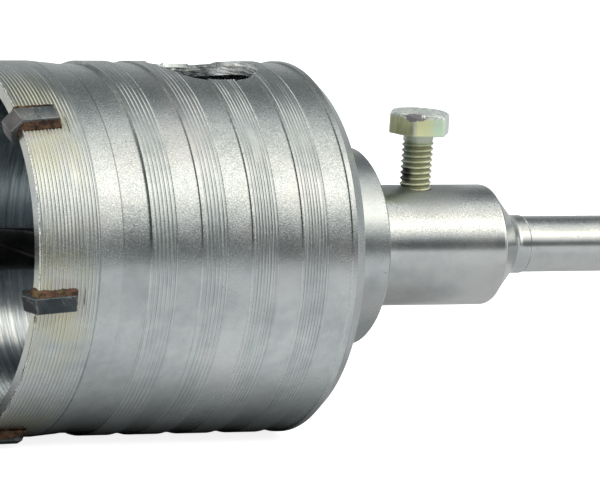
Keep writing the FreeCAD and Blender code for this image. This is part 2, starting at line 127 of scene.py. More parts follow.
@dataclass
class Shell:
    """A closed surface in millimetres, with the way each of its faces is shaded."""

    points: np.ndarray
    faces: list[Sequence[int]]
    shades: list[Shade]

    def joined(self, other: "Shell") -> "Shell":
        """Both surfaces as one.

        Args:
            other: the surface to add.
        Returns:
            A surface with the faces of both.
        """
        shift = len(self.points)
        moved = [tuple(corner + shift for corner in face) for face in other.faces]
        points = np.vstack([self.points, other.points])
        return Shell(points, list(self.faces) + moved, self.shades + other.shades)

    def outward(self) -> "Shell":
        """The same surface with its faces pointing out, told by the sign of its volume."""
        total = 0.0
        for size in {len(face) for face in self.faces}:
            same = np.array([face for face in self.faces if len(face) == size])
            corners = self.points[same]
            for k in range(1, size - 1):
                cross = np.cross(corners[:, k], corners[:, k + 1])
                total += float(np.einsum("ij,ij->", corners[:, 0], cross))
        if total < 0:
            self.faces = [tuple(reversed(face)) for face in self.faces]
        return self

    def mesh(self, name: str) -> bpy.types.Mesh:
        """The surface as a mesh in metres, each face's shade kept as its material index."""
        mesh = bpy.data.meshes.new(name)
        placed = (self.points + np.array([RIM_PLACE, 0.0, 0.0])) * MM
        mesh.from_pydata(placed.tolist(), [], [tuple(int(c) for c in face) for face in self.faces])
        marks = np.array([shade.value for shade in self.shades], dtype=np.int32)
        for _ in Shade:
            mesh.materials.append(None)
        mesh.polygons.foreach_set("material_index", marks)
        mesh.update()
        return mesh


def grid_shell(rows: np.ndarray, shade: Shade, poles: bool = True) -> Shell:
    """Closed surface from rows of points, each row a loop round the surface.

    Vertex (row, column) joins the next row and the next column; the last column joins the first.
    With poles, the first and last rows close on their own middles; without, the last row joins
    the first, as on a ring.

    Args:
        rows: points, shaped (rows, columns, 3).
        shade: how the faces take their normals.
        poles: whether the ends close on a point each.
    Returns:
        The surface, facing outwards.
    """
    count, columns = rows.shape[:2]
    points = rows.reshape(-1, 3)
    first = np.arange(count - 1 if poles else count)[:, None]
    column = np.arange(columns)[None, :]
    after = (column + 1) % columns
    below = (first + 1) % count
    corners = (first * columns + column, first * columns + after,
               below * columns + after, below * columns + column)
    quads = np.stack(np.broadcast_arrays(*corners), axis=-1).reshape(-1, 4)
    faces: list[Sequence[int]] = [tuple(quad) for quad in quads.tolist()]
    if poles:
        ends = np.array([rows[0].mean(axis=0), rows[-1].mean(axis=0)])
        top, bottom = len(points), len(points) + 1
        points = np.vstack([points, ends])
        last = (count - 1) * columns
        for j in range(columns):
            following = (j + 1) % columns
            faces.append((following, j, top))
            faces.append((last + j, last + following, bottom))
    return Shell(points, faces, [shade] * len(faces)).outward()


def turned_rows(profile: np.ndarray, columns: int, swell: np.ndarray | None = None) -> np.ndarray:
    """Rows of a surface of revolution about the X axis.

    Point (i, j) is (x_i, r_ij cos t_j, r_ij sin t_j), with t_j the column's angle from +Y
    towards +Z and r_ij the profile's radius plus the swell.

    Args:
        profile: pairs of distance along the axis and radius.
        columns: points round the axis.
        swell: additions to the radius, shaped (profile points, columns).
    Returns:
        Points, shaped (profile points, columns, 3).
    """
    turn = np.linspace(0.0, 2 * math.pi, columns, endpoint=False)
    radius = np.repeat(profile[:, 1:2], columns, axis=1)
    if swell is not None:
        radius = radius + swell
    along = np.repeat(profile[:, 0:1], columns, axis=1)
    return np.stack([along, radius * np.cos(turn), radius * np.sin(turn)], axis=-1)


def block(points: np.ndarray) -> Shell:
    """Flat-faced block between two end faces: the corners of one, then those of the other."""
    count = len(points) // 2
    faces: list[Sequence[int]] = [tuple(range(count)), tuple(range(2 * count - 1, count - 1, -1))]
    for k in range(count):
        after = (k + 1) % count
        faces.append((k, count + k, count + after, after))
    return Shell(points, faces, [Shade.FLAT] * len(faces)).outward()


def prism(outline: Sequence[tuple[float, float]], low: float, high: float) -> Shell:
    """Straight block: an outline in the XZ plane carried along Y from low to high."""
    flat = np.array(outline)
    count = len(flat)
    sides = [np.column_stack([flat[:, 0], np.full(count, y), flat[:, 1]]) for y in (low, high)]
    return block(np.vstack(sides))


def turn_about_x(points: np.ndarray, degrees: float) -> np.ndarray:
    """Points turned about the X axis, so that up (+Z) leans towards the near side (-Y)."""
    angle = math.radians(degrees)
    turned = points.copy()
    turned[:, 1] = points[:, 1] * math.cos(angle) - points[:, 2] * math.sin(angle)
    turned[:, 2] = points[:, 1] * math.sin(angle) + points[:, 2] * math.cos(angle)
    return turned


def waves(points: np.ndarray, length: float, seed: int, count: int = 28) -> np.ndarray:
    """Smooth noise between about -1 and 1.

    It is a sum of sine waves of the point's position, in seeded directions, with wavelengths
    spread about the given length.

    Args:
        points: places, shaped (..., 3).
        length: typical wavelength, in the points' unit.
        seed: number that fixes the directions and phases.
        count: waves in the sum.
    Returns:
        One value for each point.
    """
    draw = np.random.default_rng(seed)
    direction = draw.normal(size=(count, 3))
    direction /= np.linalg.norm(direction, axis=1, keepdims=True)
    speed = 2 * math.pi / length * draw.uniform(0.6, 1.7, count)
    phase = draw.uniform(0.0, 2 * math.pi, count)
    swing = np.sin(points @ (direction * speed[:, None]).T + phase)
    return swing.sum(axis=-1) * math.sqrt(2.0 / count) * 0.5


def read(parts: bpy.types.bpy_prop_collection, name: str, width: int = 1,
         kind: type = float) -> np.ndarray:
    """One attribute of all of a mesh's parts.

    Args:
        parts: the mesh's vertices, faces or corners, or the vertices' normals.
        name: the attribute.
        width: how many numbers it has.
        kind: the type of its numbers.
    Returns:
        Its numbers, with a row for each part where the width is above 1.
    """
    values = np.empty(len(parts) * width, dtype=kind)
    parts.foreach_get(name, values)
    return values.reshape(-1, width) if width > 1 else values


def carry_out(piece: bpy.types.Object) -> None:
    """Carry a piece's modifiers out into a mesh of its own."""
    bpy.context.view_layer.update()
    graph = bpy.context.evaluated_depsgraph_get()
    mesh = bpy.data.meshes.new_from_object(piece.evaluated_get(graph))
    piece.modifiers.clear()
    piece.data = mesh


def new_object(name: str, mesh: bpy.types.Mesh) -> bpy.types.Object:
    """Object for a mesh, in the scene's collection, at the origin."""
    piece = bpy.data.objects.new(name, mesh)
    bpy.context.scene.collection.objects.link(piece)
    return piece


def carved(name: str, body: bpy.types.Mesh, cutter: Shell) -> bpy.types.Object:
    """A closed piece with a cutter's volume taken out of it.

    Args:
        name: the piece's name.
        body: mesh of what is cut.
        cutter: what is taken away; the new walls keep the cutter's shades.
    Returns:
        The piece, with its cut faces in its mesh.
    """
    piece = new_object(name, body)
    tool = new_object(f"{name}_cutter", cutter.mesh(f"{name}_cutter"))
    cut = piece.modifiers.new("cut", "BOOLEAN")
    cut.operation = "DIFFERENCE"
    cut.solver = "EXACT"
    cut.object = tool
    carry_out(piece)
    bpy.data.objects.remove(tool)
    return piece


def bevelled(name: str, shell: Shell, width: float) -> bpy.types.Object:
    """A piece with its sharp edges rounded over a width, and its "edge" attribute 1 on them.

    Args:
        name: the piece's name.
        shell: its surface.
        width: how far the rounding reaches from an edge, in millimetres.
    Returns:
        The piece.
    """
    piece = new_object(name, shell.mesh(name))
    bevel = piece.modifiers.new("bevel", "BEVEL")
    bevel.width = width * MM
    bevel.segments = 2
    bevel.limit_method = "ANGLE"
    bevel.angle_limit = math.radians(20.0)
    bevel_mark = Shade.SIDE_GROOVE.value
    bevel.material = bevel_mark
    carry_out(piece)
    mesh = piece.data
    marks = read(mesh.polygons, "material_index", kind=np.int32)
    rounded = mesh.attributes.new("edge", "FLOAT", "FACE")
    rounded.data.foreach_set("value", (marks == bevel_mark).astype(np.float32))
    shade_by_angle(piece, 50.0)
    return piece


def shade_round(piece: bpy.types.Object, turnings: dict[Shade, Turning]) -> None:
    """Give each face's corners the normals of the round surface that it lies on.

    A face's normal is split into a part along the turning axis and a part away from it. Each
    corner keeps both amounts, with the second pointing away from the axis at that corner.

    Args:
        piece: the piece, whose material indices still hold the shades.
        turnings: the axis for each round shade; faces of other shades stay flat.
    """
    mesh = piece.data
    faces = len(mesh.polygons)
    normal = read(mesh.polygons, "normal", 3)
    middle = read(mesh.polygons, "center", 3)
    marks = read(mesh.polygons, "material_index", kind=np.int32)
    owner = np.repeat(np.arange(faces), read(mesh.polygons, "loop_total", kind=np.int32))
    result = normal[owner]
    points = read(mesh.vertices, "co", 3)[read(mesh.loops, "vertex_index", kind=np.int32)]
    shift = np.array([RIM_PLACE, 0.0, 0.0])
    for shade, turning in turnings.items():
        origin = (turning.origin + shift) * MM
        axis = turning.direction

        def away(places: np.ndarray) -> np.ndarray:
            """Unit directions away from the axis."""
            arm = places - origin
            arm = arm - (arm @ axis)[:, None] * axis
            return arm / np.maximum(np.linalg.norm(arm, axis=1, keepdims=True), 1e-9)

        along = normal @ axis
        outwards = np.einsum("ij,ij->i", normal, away(middle))
        chosen = (marks == shade.value)[owner]
        arms = away(points[chosen])
        owners = owner[chosen]
        result[chosen] = along[owners, None] * axis + outwards[owners, None] * arms
    result /= np.maximum(np.linalg.norm(result, axis=1, keepdims=True), 1e-9)
    mesh.polygons.foreach_set("use_smooth", np.ones(faces, dtype=bool))
    mesh.normals_split_custom_set(result.tolist())


def shade_by_angle(piece: bpy.types.Object, degrees: float) -> None:
    """Smooth shading with a crease wherever two faces meet at more than an angle."""
    mesh = piece.data
    mesh.polygons.foreach_set("use_smooth", np.ones(len(mesh.polygons), dtype=bool))
    mesh.set_sharp_from_angle(angle=math.radians(degrees))


class Term:
    """A node's output in an expression; each operator adds the Math node that works it out."""

    def __init__(self, tree: "FinishTree", socket: bpy.types.NodeSocket) -> None:
        """Keep the output and the tree that it belongs to."""
        self.tree = tree
        self.socket = socket

    def __add__(self, other: "Term | float") -> "Term":
        """Sum."""
        return self.tree.math("ADD", self, other)

    __radd__ = __add__

    def __sub__(self, other: "Term | float") -> "Term":
        """Difference."""
        return self.tree.math("SUBTRACT", self, other)

    def __rsub__(self, other: float) -> "Term":
        """Difference from a number."""
        return self.tree.math("SUBTRACT", other, self)

    def __mul__(self, other: "Term | float") -> "Term":
        """Product."""
        return self.tree.math("MULTIPLY", self, other)

    def __truediv__(self, other: "Term | float") -> "Term":
        """Quotient."""
        return self.tree.math("DIVIDE", self, other)

    def __pow__(self, other: float) -> "Term":
        """Power."""
        return self.tree.math("POWER", self, other)

    def __abs__(self) -> "Term":
        """Size without sign."""
        return self.tree.math("ABSOLUTE", self)

    def rise(self, low: float, high: float) -> "Term":
        """Smooth step: 0 below low, 1 above high (or falling, where low is above high)."""
        down = low > high
        inputs = {"Value": self, "From Min": min(low, high), "From Max": max(low, high),
                  "To Min": float(down), "To Max": float(not down)}
        return self.tree.node("ShaderNodeMapRange", {"interpolation_type": "SMOOTHSTEP"}, inputs)


Value = Term | float
Place = tuple[Term, Term, Term]
Colour = tuple[float, float, float]


class FinishTree:
    """The node tree of a material or of the world, built from expressions."""

    def __init__(self, name: str, kind: str = "materials") -> None:
        """Start an empty material, or an empty world where the kind is worlds."""
        self.owner = getattr(bpy.data, kind).new(name)
        self.owner.use_nodes = True
        self.nodes = self.owner.node_tree.nodes
        self.links = self.owner.node_tree.links
        self.nodes.clear()

    def node(self, kind: str, settings: dict | None = None, inputs: dict | None = None,
             output: int | str = 0) -> Term:
        """Add any node.

        Args:
            kind: the node's type.
            settings: its properties, set first.
            inputs: values or terms by socket name or number.
            output: the socket whose value is wanted.
        Returns:
            The node's output.
        """
        made = self.nodes.new(kind)
        for key, setting in (settings or {}).items():
            setattr(made, key, setting)
        for key, item in (inputs or {}).items():
            if isinstance(item, Term):
                self.links.new(item.socket, made.inputs[key])
            elif isinstance(item, tuple) and made.inputs[key].type == "RGBA":
                made.inputs[key].default_value = (*item, 1.0)
            else:
                made.inputs[key].default_value = item
        return Term(self, made.outputs[output])

    def math(self, operation: str, *items: Value) -> Term:
        """Math node of an operation on terms and numbers."""
        return self.node("ShaderNodeMath", {"operation": operation}, dict(enumerate(items)))

    def place(self) -> tuple[Term, Term, Term]:
        """The point's place in millimetres: from the rim plane along the axis, then Y and Z."""
        where = self.node("ShaderNodeTexCoord", output="Object")
        parts = [self.node("ShaderNodeSeparateXYZ", inputs={0: where}, output=k) for k in range(3)]
        x, y, z = (part / MM for part in parts)
        return x - RIM_PLACE, y, z

    def vector(self, x: Value, y: Value, z: Value) -> Term:
        """Vector of three values."""
        return self.node("ShaderNodeCombineXYZ", inputs={0: x, 1: y, 2: z})

    def scaled(self, where: Place, size: float) -> Term:
        """A place measured in steps of a size."""
        return self.vector(*(part / size for part in where))

    def noise(self, where: Term, detail: float = 2.0, rough: float = 0.5) -> Term:
        """Noise of about 0 to 1 at a place, with features about one unit long."""
        inputs = {"Vector": where, "Scale": 1.0, "Detail": detail, "Roughness": rough}
        return self.node("ShaderNodeTexNoise", inputs=inputs)

    def speckle(self, where: Place, size: float, detail: float = 2.0, rough: float = 0.5) -> Term:
        """Noise of about 0 to 1 with features of a size in millimetres."""
        return self.noise(self.scaled(where, size), detail, rough)

    def cells(self, where: Term) -> Term:
        """Distance to the nearest of points scattered about one unit apart."""
        inputs = {"Vector": where, "Scale": 1.0, "Randomness": 1.0}
        return self.node("ShaderNodeTexVoronoi", inputs=inputs)

    def attribute(self, name: str) -> Term:
        """The mesh's own number of a name."""
        return self.node("ShaderNodeAttribute", {"attribute_name": name}, output="Fac")

    def ray(self, kind: str) -> Term:
        """1 for light rays of a kind, such as Is Camera Ray."""
        return self.node("ShaderNodeLightPath", output=kind)

    def mix(self, share: Value, first: "Term | Colour", second: "Term | Colour") -> Term:
        """Colour between two others."""
        colour_sockets = {0: share, 6: first, 7: second}
        return self.node("ShaderNodeMix", {"data_type": "RGBA"}, colour_sockets, output=2)

    def bump(self, height: Term, depth: float, strength: float = 1.0) -> Term:
        """Normal of a surface raised by a height of 0 to 1, over a depth in millimetres."""
        inputs = {"Height": height, "Distance": depth * MM, "Strength": strength}
        return self.node("ShaderNodeBump", inputs=inputs)

    def finish(self, **sockets: "Term | float | Colour") -> bpy.types.Material:
        """Close the tree with a Principled shader.

        Args:
            sockets: its inputs, with underscores for the spaces of their names.
        Returns:
            The material.
        """
        inputs = {key.replace("_", " "): item for key, item in sockets.items()}
        self.close(self.node("ShaderNodeBsdfPrincipled", inputs=inputs))
        return self.owner

    def close(self, shader: Term) -> None:
        """Link a shader to the material's or the world's output."""
        target = "World" if isinstance(self.owner, bpy.types.World) else "Material"
        end = self.nodes.new(f"ShaderNodeOutput{target}")
        self.links.new(shader.socket, end.inputs["Surface"])


def scratches(tree: FinishTree, where: Place, lean: float, spacing: float, width: float) -> Term:
    """Thin straight scratches.

    They lie where a noise stretched along one direction crosses its middle value.

    Args:
        tree: the material's tree.
        where: place in millimetres.
        lean: slope of the scratches against the drill's axis.
        spacing: rough distance between them, in millimetres.
        width: share of the noise's range that a scratch takes.
    Returns:
        1 in a scratch, 0 beside it.
    """
    x, y, z = where
    across = (z + y * 0.35 + x * lean) / spacing
    along = (x - z * lean) / (spacing * 14.0)
    band = tree.noise(tree.vector(along, across, y / (spacing * 3.0)), 1.0)
    line = abs(band - 0.5).rise(width, 0.0)
    patch = tree.speckle(where, 9.0, 1.0).rise(0.48, 0.62)
    return line * patch


@dataclass(frozen=True)
class TurnedSteel:
    """Bare lathe-turned steel: faint rings, fine grain with painted sparkle, clouds, scratches."""

    name: str
    light: Colour = (0.535, 0.575, 0.58)
    dark: Colour = (0.435, 0.475, 0.48)
    stain: Colour = (0.64, 0.615, 0.61)
    roughness: float = 0.19
    ring_pitch: float = 0.3
    ring_share: float = 0.3
    grain_size: float = 0.27
    depth: float = 0.020
    sparkle: tuple[float, float] = (0.0, 9.0)
    pit: Colour = (0.10, 0.10, 0.10)
    scratch: Colour = (0.80, 0.80, 0.78)
    # Light and dark colours of the painted sparkle on the grain.
    crest: Colour = (0.84, 0.85, 0.84)
    speck_shade: Colour = (0.22, 0.24, 0.24)

    def material(self) -> bpy.types.Material:
        """The finish as a material."""
        tree = FinishTree(self.name)
        where = tree.place()
        colour, roughness, height = self.layers(tree, where)
        return tree.finish(Base_Color=colour, Metallic=1.0, Roughness=roughness,
                           Normal=tree.bump(height, self.depth))

    def ring_place(self, where: Place) -> Term:
        """Place across the lathe's rings: along on a cylinder, outwards on an end face."""
        x, y, z = where
        return x + (y * y + z * z) ** 0.5

    def grit_and_sparkle(self, tree: FinishTree, where: Place) -> Term:
        """Coarseness and painted sparkle at a place, 0 to 1: both grow towards the top."""
        return where[2].rise(*self.sparkle)

    def layers(self, tree: FinishTree, where: Place) -> tuple[Term, Term, Term]:
        """Colour, roughness and height of the bare steel.

        Args:
            tree: the material's tree.
            where: place in millimetres.
        Returns:
            The three terms.
        """
        _, y, z = where
        rings = tree.vector(self.ring_place(where) / self.ring_pitch, y / 30.0, z / 30.0)
        rings = tree.noise(rings, 2.0, 0.6)
        grain = tree.speckle(where, self.grain_size, 2.0, 0.6)
        mottle = tree.speckle(where, 2.4, 3.0, 0.6)
        cloud = tree.speckle(where, 11.0, 3.0, 0.55)
        line = scratches(tree, where, 0.25, 1.1, 0.010) + scratches(tree, where, -0.8, 1.9, 0.007)
        pit = tree.cells(tree.scaled(where, 1.9)).rise(0.075, 0.03)
        pit = pit * tree.speckle(where, 5.0, 1.0).rise(0.55, 0.6)
        colour = tree.mix((cloud * 0.6 + mottle * 0.4).rise(0.36, 0.62), self.dark, self.light)
        colour = tree.mix(pit * 0.8, colour, self.pit)
        colour = tree.mix(line * 0.2, colour, self.scratch)
        # Painted sparkle: light and dark specks on the grain, stronger towards the top.
        grit_and_sparkle = self.grit_and_sparkle(tree, where)
        colour = tree.mix(grain.rise(0.53, 0.66) * grit_and_sparkle * 0.55, colour, self.crest)
        colour = tree.mix(grain.rise(0.47, 0.34) * grit_and_sparkle * 0.5, colour, self.speck_shade)
        roughness = self.roughness + grain * 0.07 + cloud * 0.12 - 0.03
        stain = tree.speckle(where, 17.0, 2.0, 0.5)
        colour = tree.mix(stain.rise(0.52, 0.66) * 0.3, colour, self.stain)
        height = rings * self.ring_share + mottle * 0.6 - line * 0.12 - pit * 0.8
        height = height + grain * (grit_and_sparkle * 0.9 + 0.3)
        return colour, roughness, height


@dataclass(frozen=True)
class ArborSteel(TurnedSteel):
    """The arbor's steel, rougher and with painted shade on the hub round the bolt's hole."""

    bolt_shade: Colour = (0.36, 0.385, 0.385)

    def layers(self, tree: FinishTree, where: Place) -> tuple[Term, Term, Term]:
        """Colour, roughness and height as for bare steel, with painted shade round the bolt."""
        x, y, z = where
        colour, roughness, height = super().layers(tree, where)
        # Painted shade on the hub round the bolt's seat; the steel is also rougher there.
        reach = ((x - SIZES.bolt_place) ** 2.0 + y * y) ** 0.5
        bolt_shade = reach.rise(11.0, 5.0) * z.rise(5.5, 7.5)
        colour = tree.mix(bolt_shade * 0.5, colour, self.bolt_shade)
        return colour, roughness + bolt_shade * 0.2, height


@dataclass(frozen=True)
class BarrelSteel(TurnedSteel):
    """The barrel's steel: grime and painted shade in steps, heat tint, a bright nicked rim, a dull
    bore.
    """

    step_grime_and_shade: Colour = (0.06, 0.065, 0.065)
    glint: Colour = (0.95, 0.96, 0.95)
    rim_glint: Colour = (0.95, 0.95, 0.93)
    straw: Colour = (0.54, 0.55, 0.415)
    scorch: Colour = (0.38, 0.29, 0.19)
    torn_dark: Colour = (0.30, 0.31, 0.31)
    torn_light: Colour = (0.88, 0.90, 0.89)
    bore_dark: Colour = (0.42, 0.48, 0.52)
    bore_light: Colour = (0.84, 0.87, 0.88)
    bore_stain: Colour = (0.30, 0.33, 0.35)

    def band_place(self, tree: FinishTree, x: Term) -> Term:
        """Distance from the nearest band's front edge, from half a pitch before to half behind."""
        pitch, half = SIZES.band_pitch, SIZES.band_pitch / 2
        start = x - SIZES.first_band + pitch + half
        return tree.math("MODULO", start, pitch) - half

    def grit_and_sparkle(self, tree: FinishTree, where: Place) -> Term:
        """Coarseness and painted sparkle: as elsewhere, with less of both on the grooved bands."""
        x = where[0]
        start = self.band_place(tree, x)
        grooved = start.rise(0.3, 0.6) * start.rise(4.7, 4.4) * x.rise(17.0, 18.0)
        grooved = grooved + x.rise(11.7, 11.3)
        return super().grit_and_sparkle(tree, where) * (1.0 - grooved * 0.75)

    def layers(self, tree: FinishTree, where: Place) -> tuple[Term, Term, Term]:
        """Colour, roughness and height, as for the bare steel, with the barrel's own marks."""
        x, y, z = where
        colour, roughness, height = super().layers(tree, where)
        cloud = tree.speckle(where, 5.0, 3.0, 0.6)
        outward = (y * y + z * z) ** 0.5
        outside = outward.rise(SIZES.bore + 1.2, SIZES.bore + 1.6)
        colour = self.heat_tint(tree, where, colour, cloud)
        # Grime and painted shade along the band steps and the front step, stronger towards the top.
        start, behind = self.band_place(tree, x), x.rise(16.0, 17.0)
        step = abs(start).rise(0.10, 0.04) * behind * 0.36
        step = step + abs(x - SIZES.front_step).rise(0.22, 0.08) * 0.6
        step = step * outside * cloud.rise(0.25, 0.5) * (z.rise(2.0, 9.0) * 0.9 + 0.1)
        colour = tree.mix(step, colour, self.step_grime_and_shade)
        # Painted highlight along the band walls, on the lower half.
        wall = start.rise(-0.03, -0.01) * start.rise(0.06, 0.04) * outside * behind
        colour = tree.mix(wall * z.rise(8.0, 2.0), colour, self.glint)
        # Nicks in the rim's outer edge, painted bright as a highlight.
        nick = tree.speckle(where, 0.35, 2.0, 0.7)
        radius = SIZES.barrel_radius
        edge = outward.rise(radius - 0.32, radius - 0.2) * x.rise(0.35, 0.22)
        colour = tree.mix(edge * nick.rise(0.4, 0.6), colour, self.rim_glint)
        height = height + edge * nick * 2.2
        side = ((x - SIZES.window_centre) ** 2.0 + y * y) ** 0.5 - SIZES.window_radius
        wall = side.rise(0.45, 0.2) * z.rise(24.0, 25.0)
        torn = tree.noise(tree.vector((x + z * 1.6) / 1.6, y / 5.0, z / 0.4), 3.0, 0.65)
        torn_steel = tree.mix(torn.rise(0.38, 0.6), self.torn_dark, self.torn_light)
        colour = tree.mix(wall, colour, torn_steel)
        height = height + wall * torn * 5.0
        inside = outward.rise(SIZES.bore + 0.3, SIZES.bore + 0.1) * x.rise(0.3, 0.6)
        inside = inside * x.rise(SIZES.cup_depth + 0.3, SIZES.cup_depth + 0.1)
        inside = inside * (1.0 - wall)
        streak = tree.vector(self.ring_place(where) / 0.45, y / 12.0, z / 12.0)
        streak = tree.noise(streak, 3.0, 0.75)
        bore = tree.mix(streak.rise(0.34, 0.66), self.bore_dark, self.bore_light)
        bore = tree.mix(cloud.rise(0.55, 0.75) * 0.3, bore, self.bore_stain)
        colour = tree.mix(inside, colour, bore)
        return colour, roughness - inside * 0.07, height + inside * streak * 0.8

    def heat_tint(self, tree: FinishTree, where: Place, colour: Term, cloud: Term) -> Term:
        """Colours left by the brazing heat: pale straw over the front band, brown at the tips.

        The reach is the distance from the middle of the nearest tip slot, along rim and axis.

        Args:
            tree: the material's tree.
            where: place in millimetres.
            colour: the steel's colour.
            cloud: noise that makes the edges of the tint uneven.
        Returns:
            The tinted colour.
        """
        x, y, z = where
        seats = TipSeats()
        angle = tree.math("ARCTAN2", z, y) * (180.0 / math.pi)
        pitch = 360.0 / TIP_COUNT
        offset = seats.first_direction % pitch
        turn = tree.math("MODULO", angle + (720.0 - offset + pitch / 2), pitch) - pitch / 2
        across = turn * (math.pi / 180.0 * seats.wall_radius)
        ahead = (x - 3.2) * 0.8
        reach = (across * across + ahead * ahead) ** 0.5 + (cloud - 0.5) * 6.0
        straw = reach.rise(18.0, 5.0) * x.rise(12.5, 6.5) * cloud.rise(0.28, 0.62)
        brown = reach.rise(4.8, 3.4) * x.rise(12.0, 9.0)
        colour = tree.mix(straw * 0.8, colour, self.straw)
        return tree.mix(brown * 0.22, colour, self.scorch)


@dataclass(frozen=True)
class SinteredCarbide:
    """Ground sintered carbide: slate grey, pale scratches, warm bevels, painted-bright worn edges,
    painted shade.
    """

    name: str
    lit_share: float = 1.0
    light: Colour = (0.155, 0.172, 0.175)
    dark: Colour = (0.07, 0.084, 0.088)
    warm: Colour = (0.16, 0.14, 0.12)
    bevel: Colour = (0.19, 0.165, 0.155)
    shadow: Colour = (0.012, 0.022, 0.028)
    scratch: Colour = (0.45, 0.46, 0.47)
    edge_wear_and_glint: Colour = (0.36, 0.40, 0.42)

    def material(self) -> bpy.types.Material:
        """The finish as a material."""
        tree = FinishTree(self.name)
        where = tree.place()
        x = where[0]
        grain = tree.speckle(where, 0.25, 3.0, 0.7)
        cloud = tree.speckle(where, 2.5, 3.0)
        line = scratches(tree, where, 1.2, 0.6, 0.02)
        colour = tree.mix(cloud.rise(0.3, 0.7), self.dark, self.light)
        colour = tree.mix(cloud.rise(0.55, 0.75) * 0.5, colour, self.warm)
        colour = tree.mix(x.rise(0.6, -0.6) * 0.45, colour, self.bevel)
        # Painted shade: a tip whose lit share is below 1 is darkened towards the shadow colour.
        colour = tree.mix(1.0 - self.lit_share, colour, self.shadow)
        colour = tree.mix(line * 0.7, colour, self.scratch)
        # Worn edges, painted brighter as a highlight, more so on the more lit tips.
        edge = tree.attribute("edge") * grain.rise(0.35, 0.65) * (0.3 + self.lit_share * 0.4)
        colour = tree.mix(edge, colour, self.edge_wear_and_glint)
        roughness = 0.38 + grain * 0.15
        return tree.finish(Base_Color=colour, Metallic=0.75, Roughness=roughness,
                           Normal=tree.bump(grain + line * 0.4, 0.01))


@dataclass(frozen=True)
class BrazeMetal:
    """Braze with dark scale: brown, with golden patches where the scale has come away."""

    name: str
    dark: Colour = (0.035, 0.024, 0.020)
    brown: Colour = (0.15, 0.085, 0.052)
    golden: Colour = (0.26, 0.19, 0.08)
    olive: Colour = (0.13, 0.12, 0.055)
    scale: Colour = (0.02, 0.018, 0.016)

    def material(self) -> bpy.types.Material:
        """The finish as a material."""
        tree = FinishTree(self.name)
        where = tree.place()
        x = where[0]
        grain = tree.speckle(where, 0.3, 3.0, 0.7)
        cloud = tree.speckle(where, 1.4, 3.0, 0.6)
        patch = tree.speckle(where, 2.4, 2.0)
        colour = tree.mix(cloud.rise(0.35, 0.65), self.dark, self.brown)
        golden = patch.rise(0.54, 0.64) * x.rise(2.0, -0.5)
        colour = tree.mix(golden * 0.6, colour, self.golden)
        colour = tree.mix(patch.rise(0.44, 0.34) * 0.5, colour, self.olive)
        scale = grain.rise(0.56, 0.68) * cloud.rise(0.6, 0.4)
        colour = tree.mix(scale, colour, self.scale)
        return tree.finish(Base_Color=colour, Metallic=0.8, Roughness=0.42 + grain * 0.25,
                           Normal=tree.bump(grain * 0.6 + cloud * 0.5, 0.06))


@dataclass(frozen=True)
class BlackOxide:
    """Blackened steel of the pilot drill, rubbed bright along the edges of its lands."""

    name: str
    dark: Colour = (0.012, 0.012, 0.014)
    light: Colour = (0.035, 0.035, 0.037)
    rubbed: Colour = (0.24, 0.25, 0.25)

    def material(self) -> bpy.types.Material:
        """The finish as a material."""
        tree = FinishTree(self.name)
        where = tree.place()
        grain = tree.speckle(where, 0.4, 3.0, 0.6)
        cloud = tree.speckle(where, 4.0, 3.0)
        worn = (tree.attribute("wear") * (0.4 + grain * 0.9)).rise(0.55, 1.0) * 0.5
        colour = tree.mix(cloud.rise(0.3, 0.7), self.dark, self.light)
        colour = tree.mix(worn, colour, self.rubbed)
        return tree.finish(Base_Color=colour, Metallic=0.9, Roughness=0.34 + grain * 0.2,
                           Normal=tree.bump(grain, 0.01))


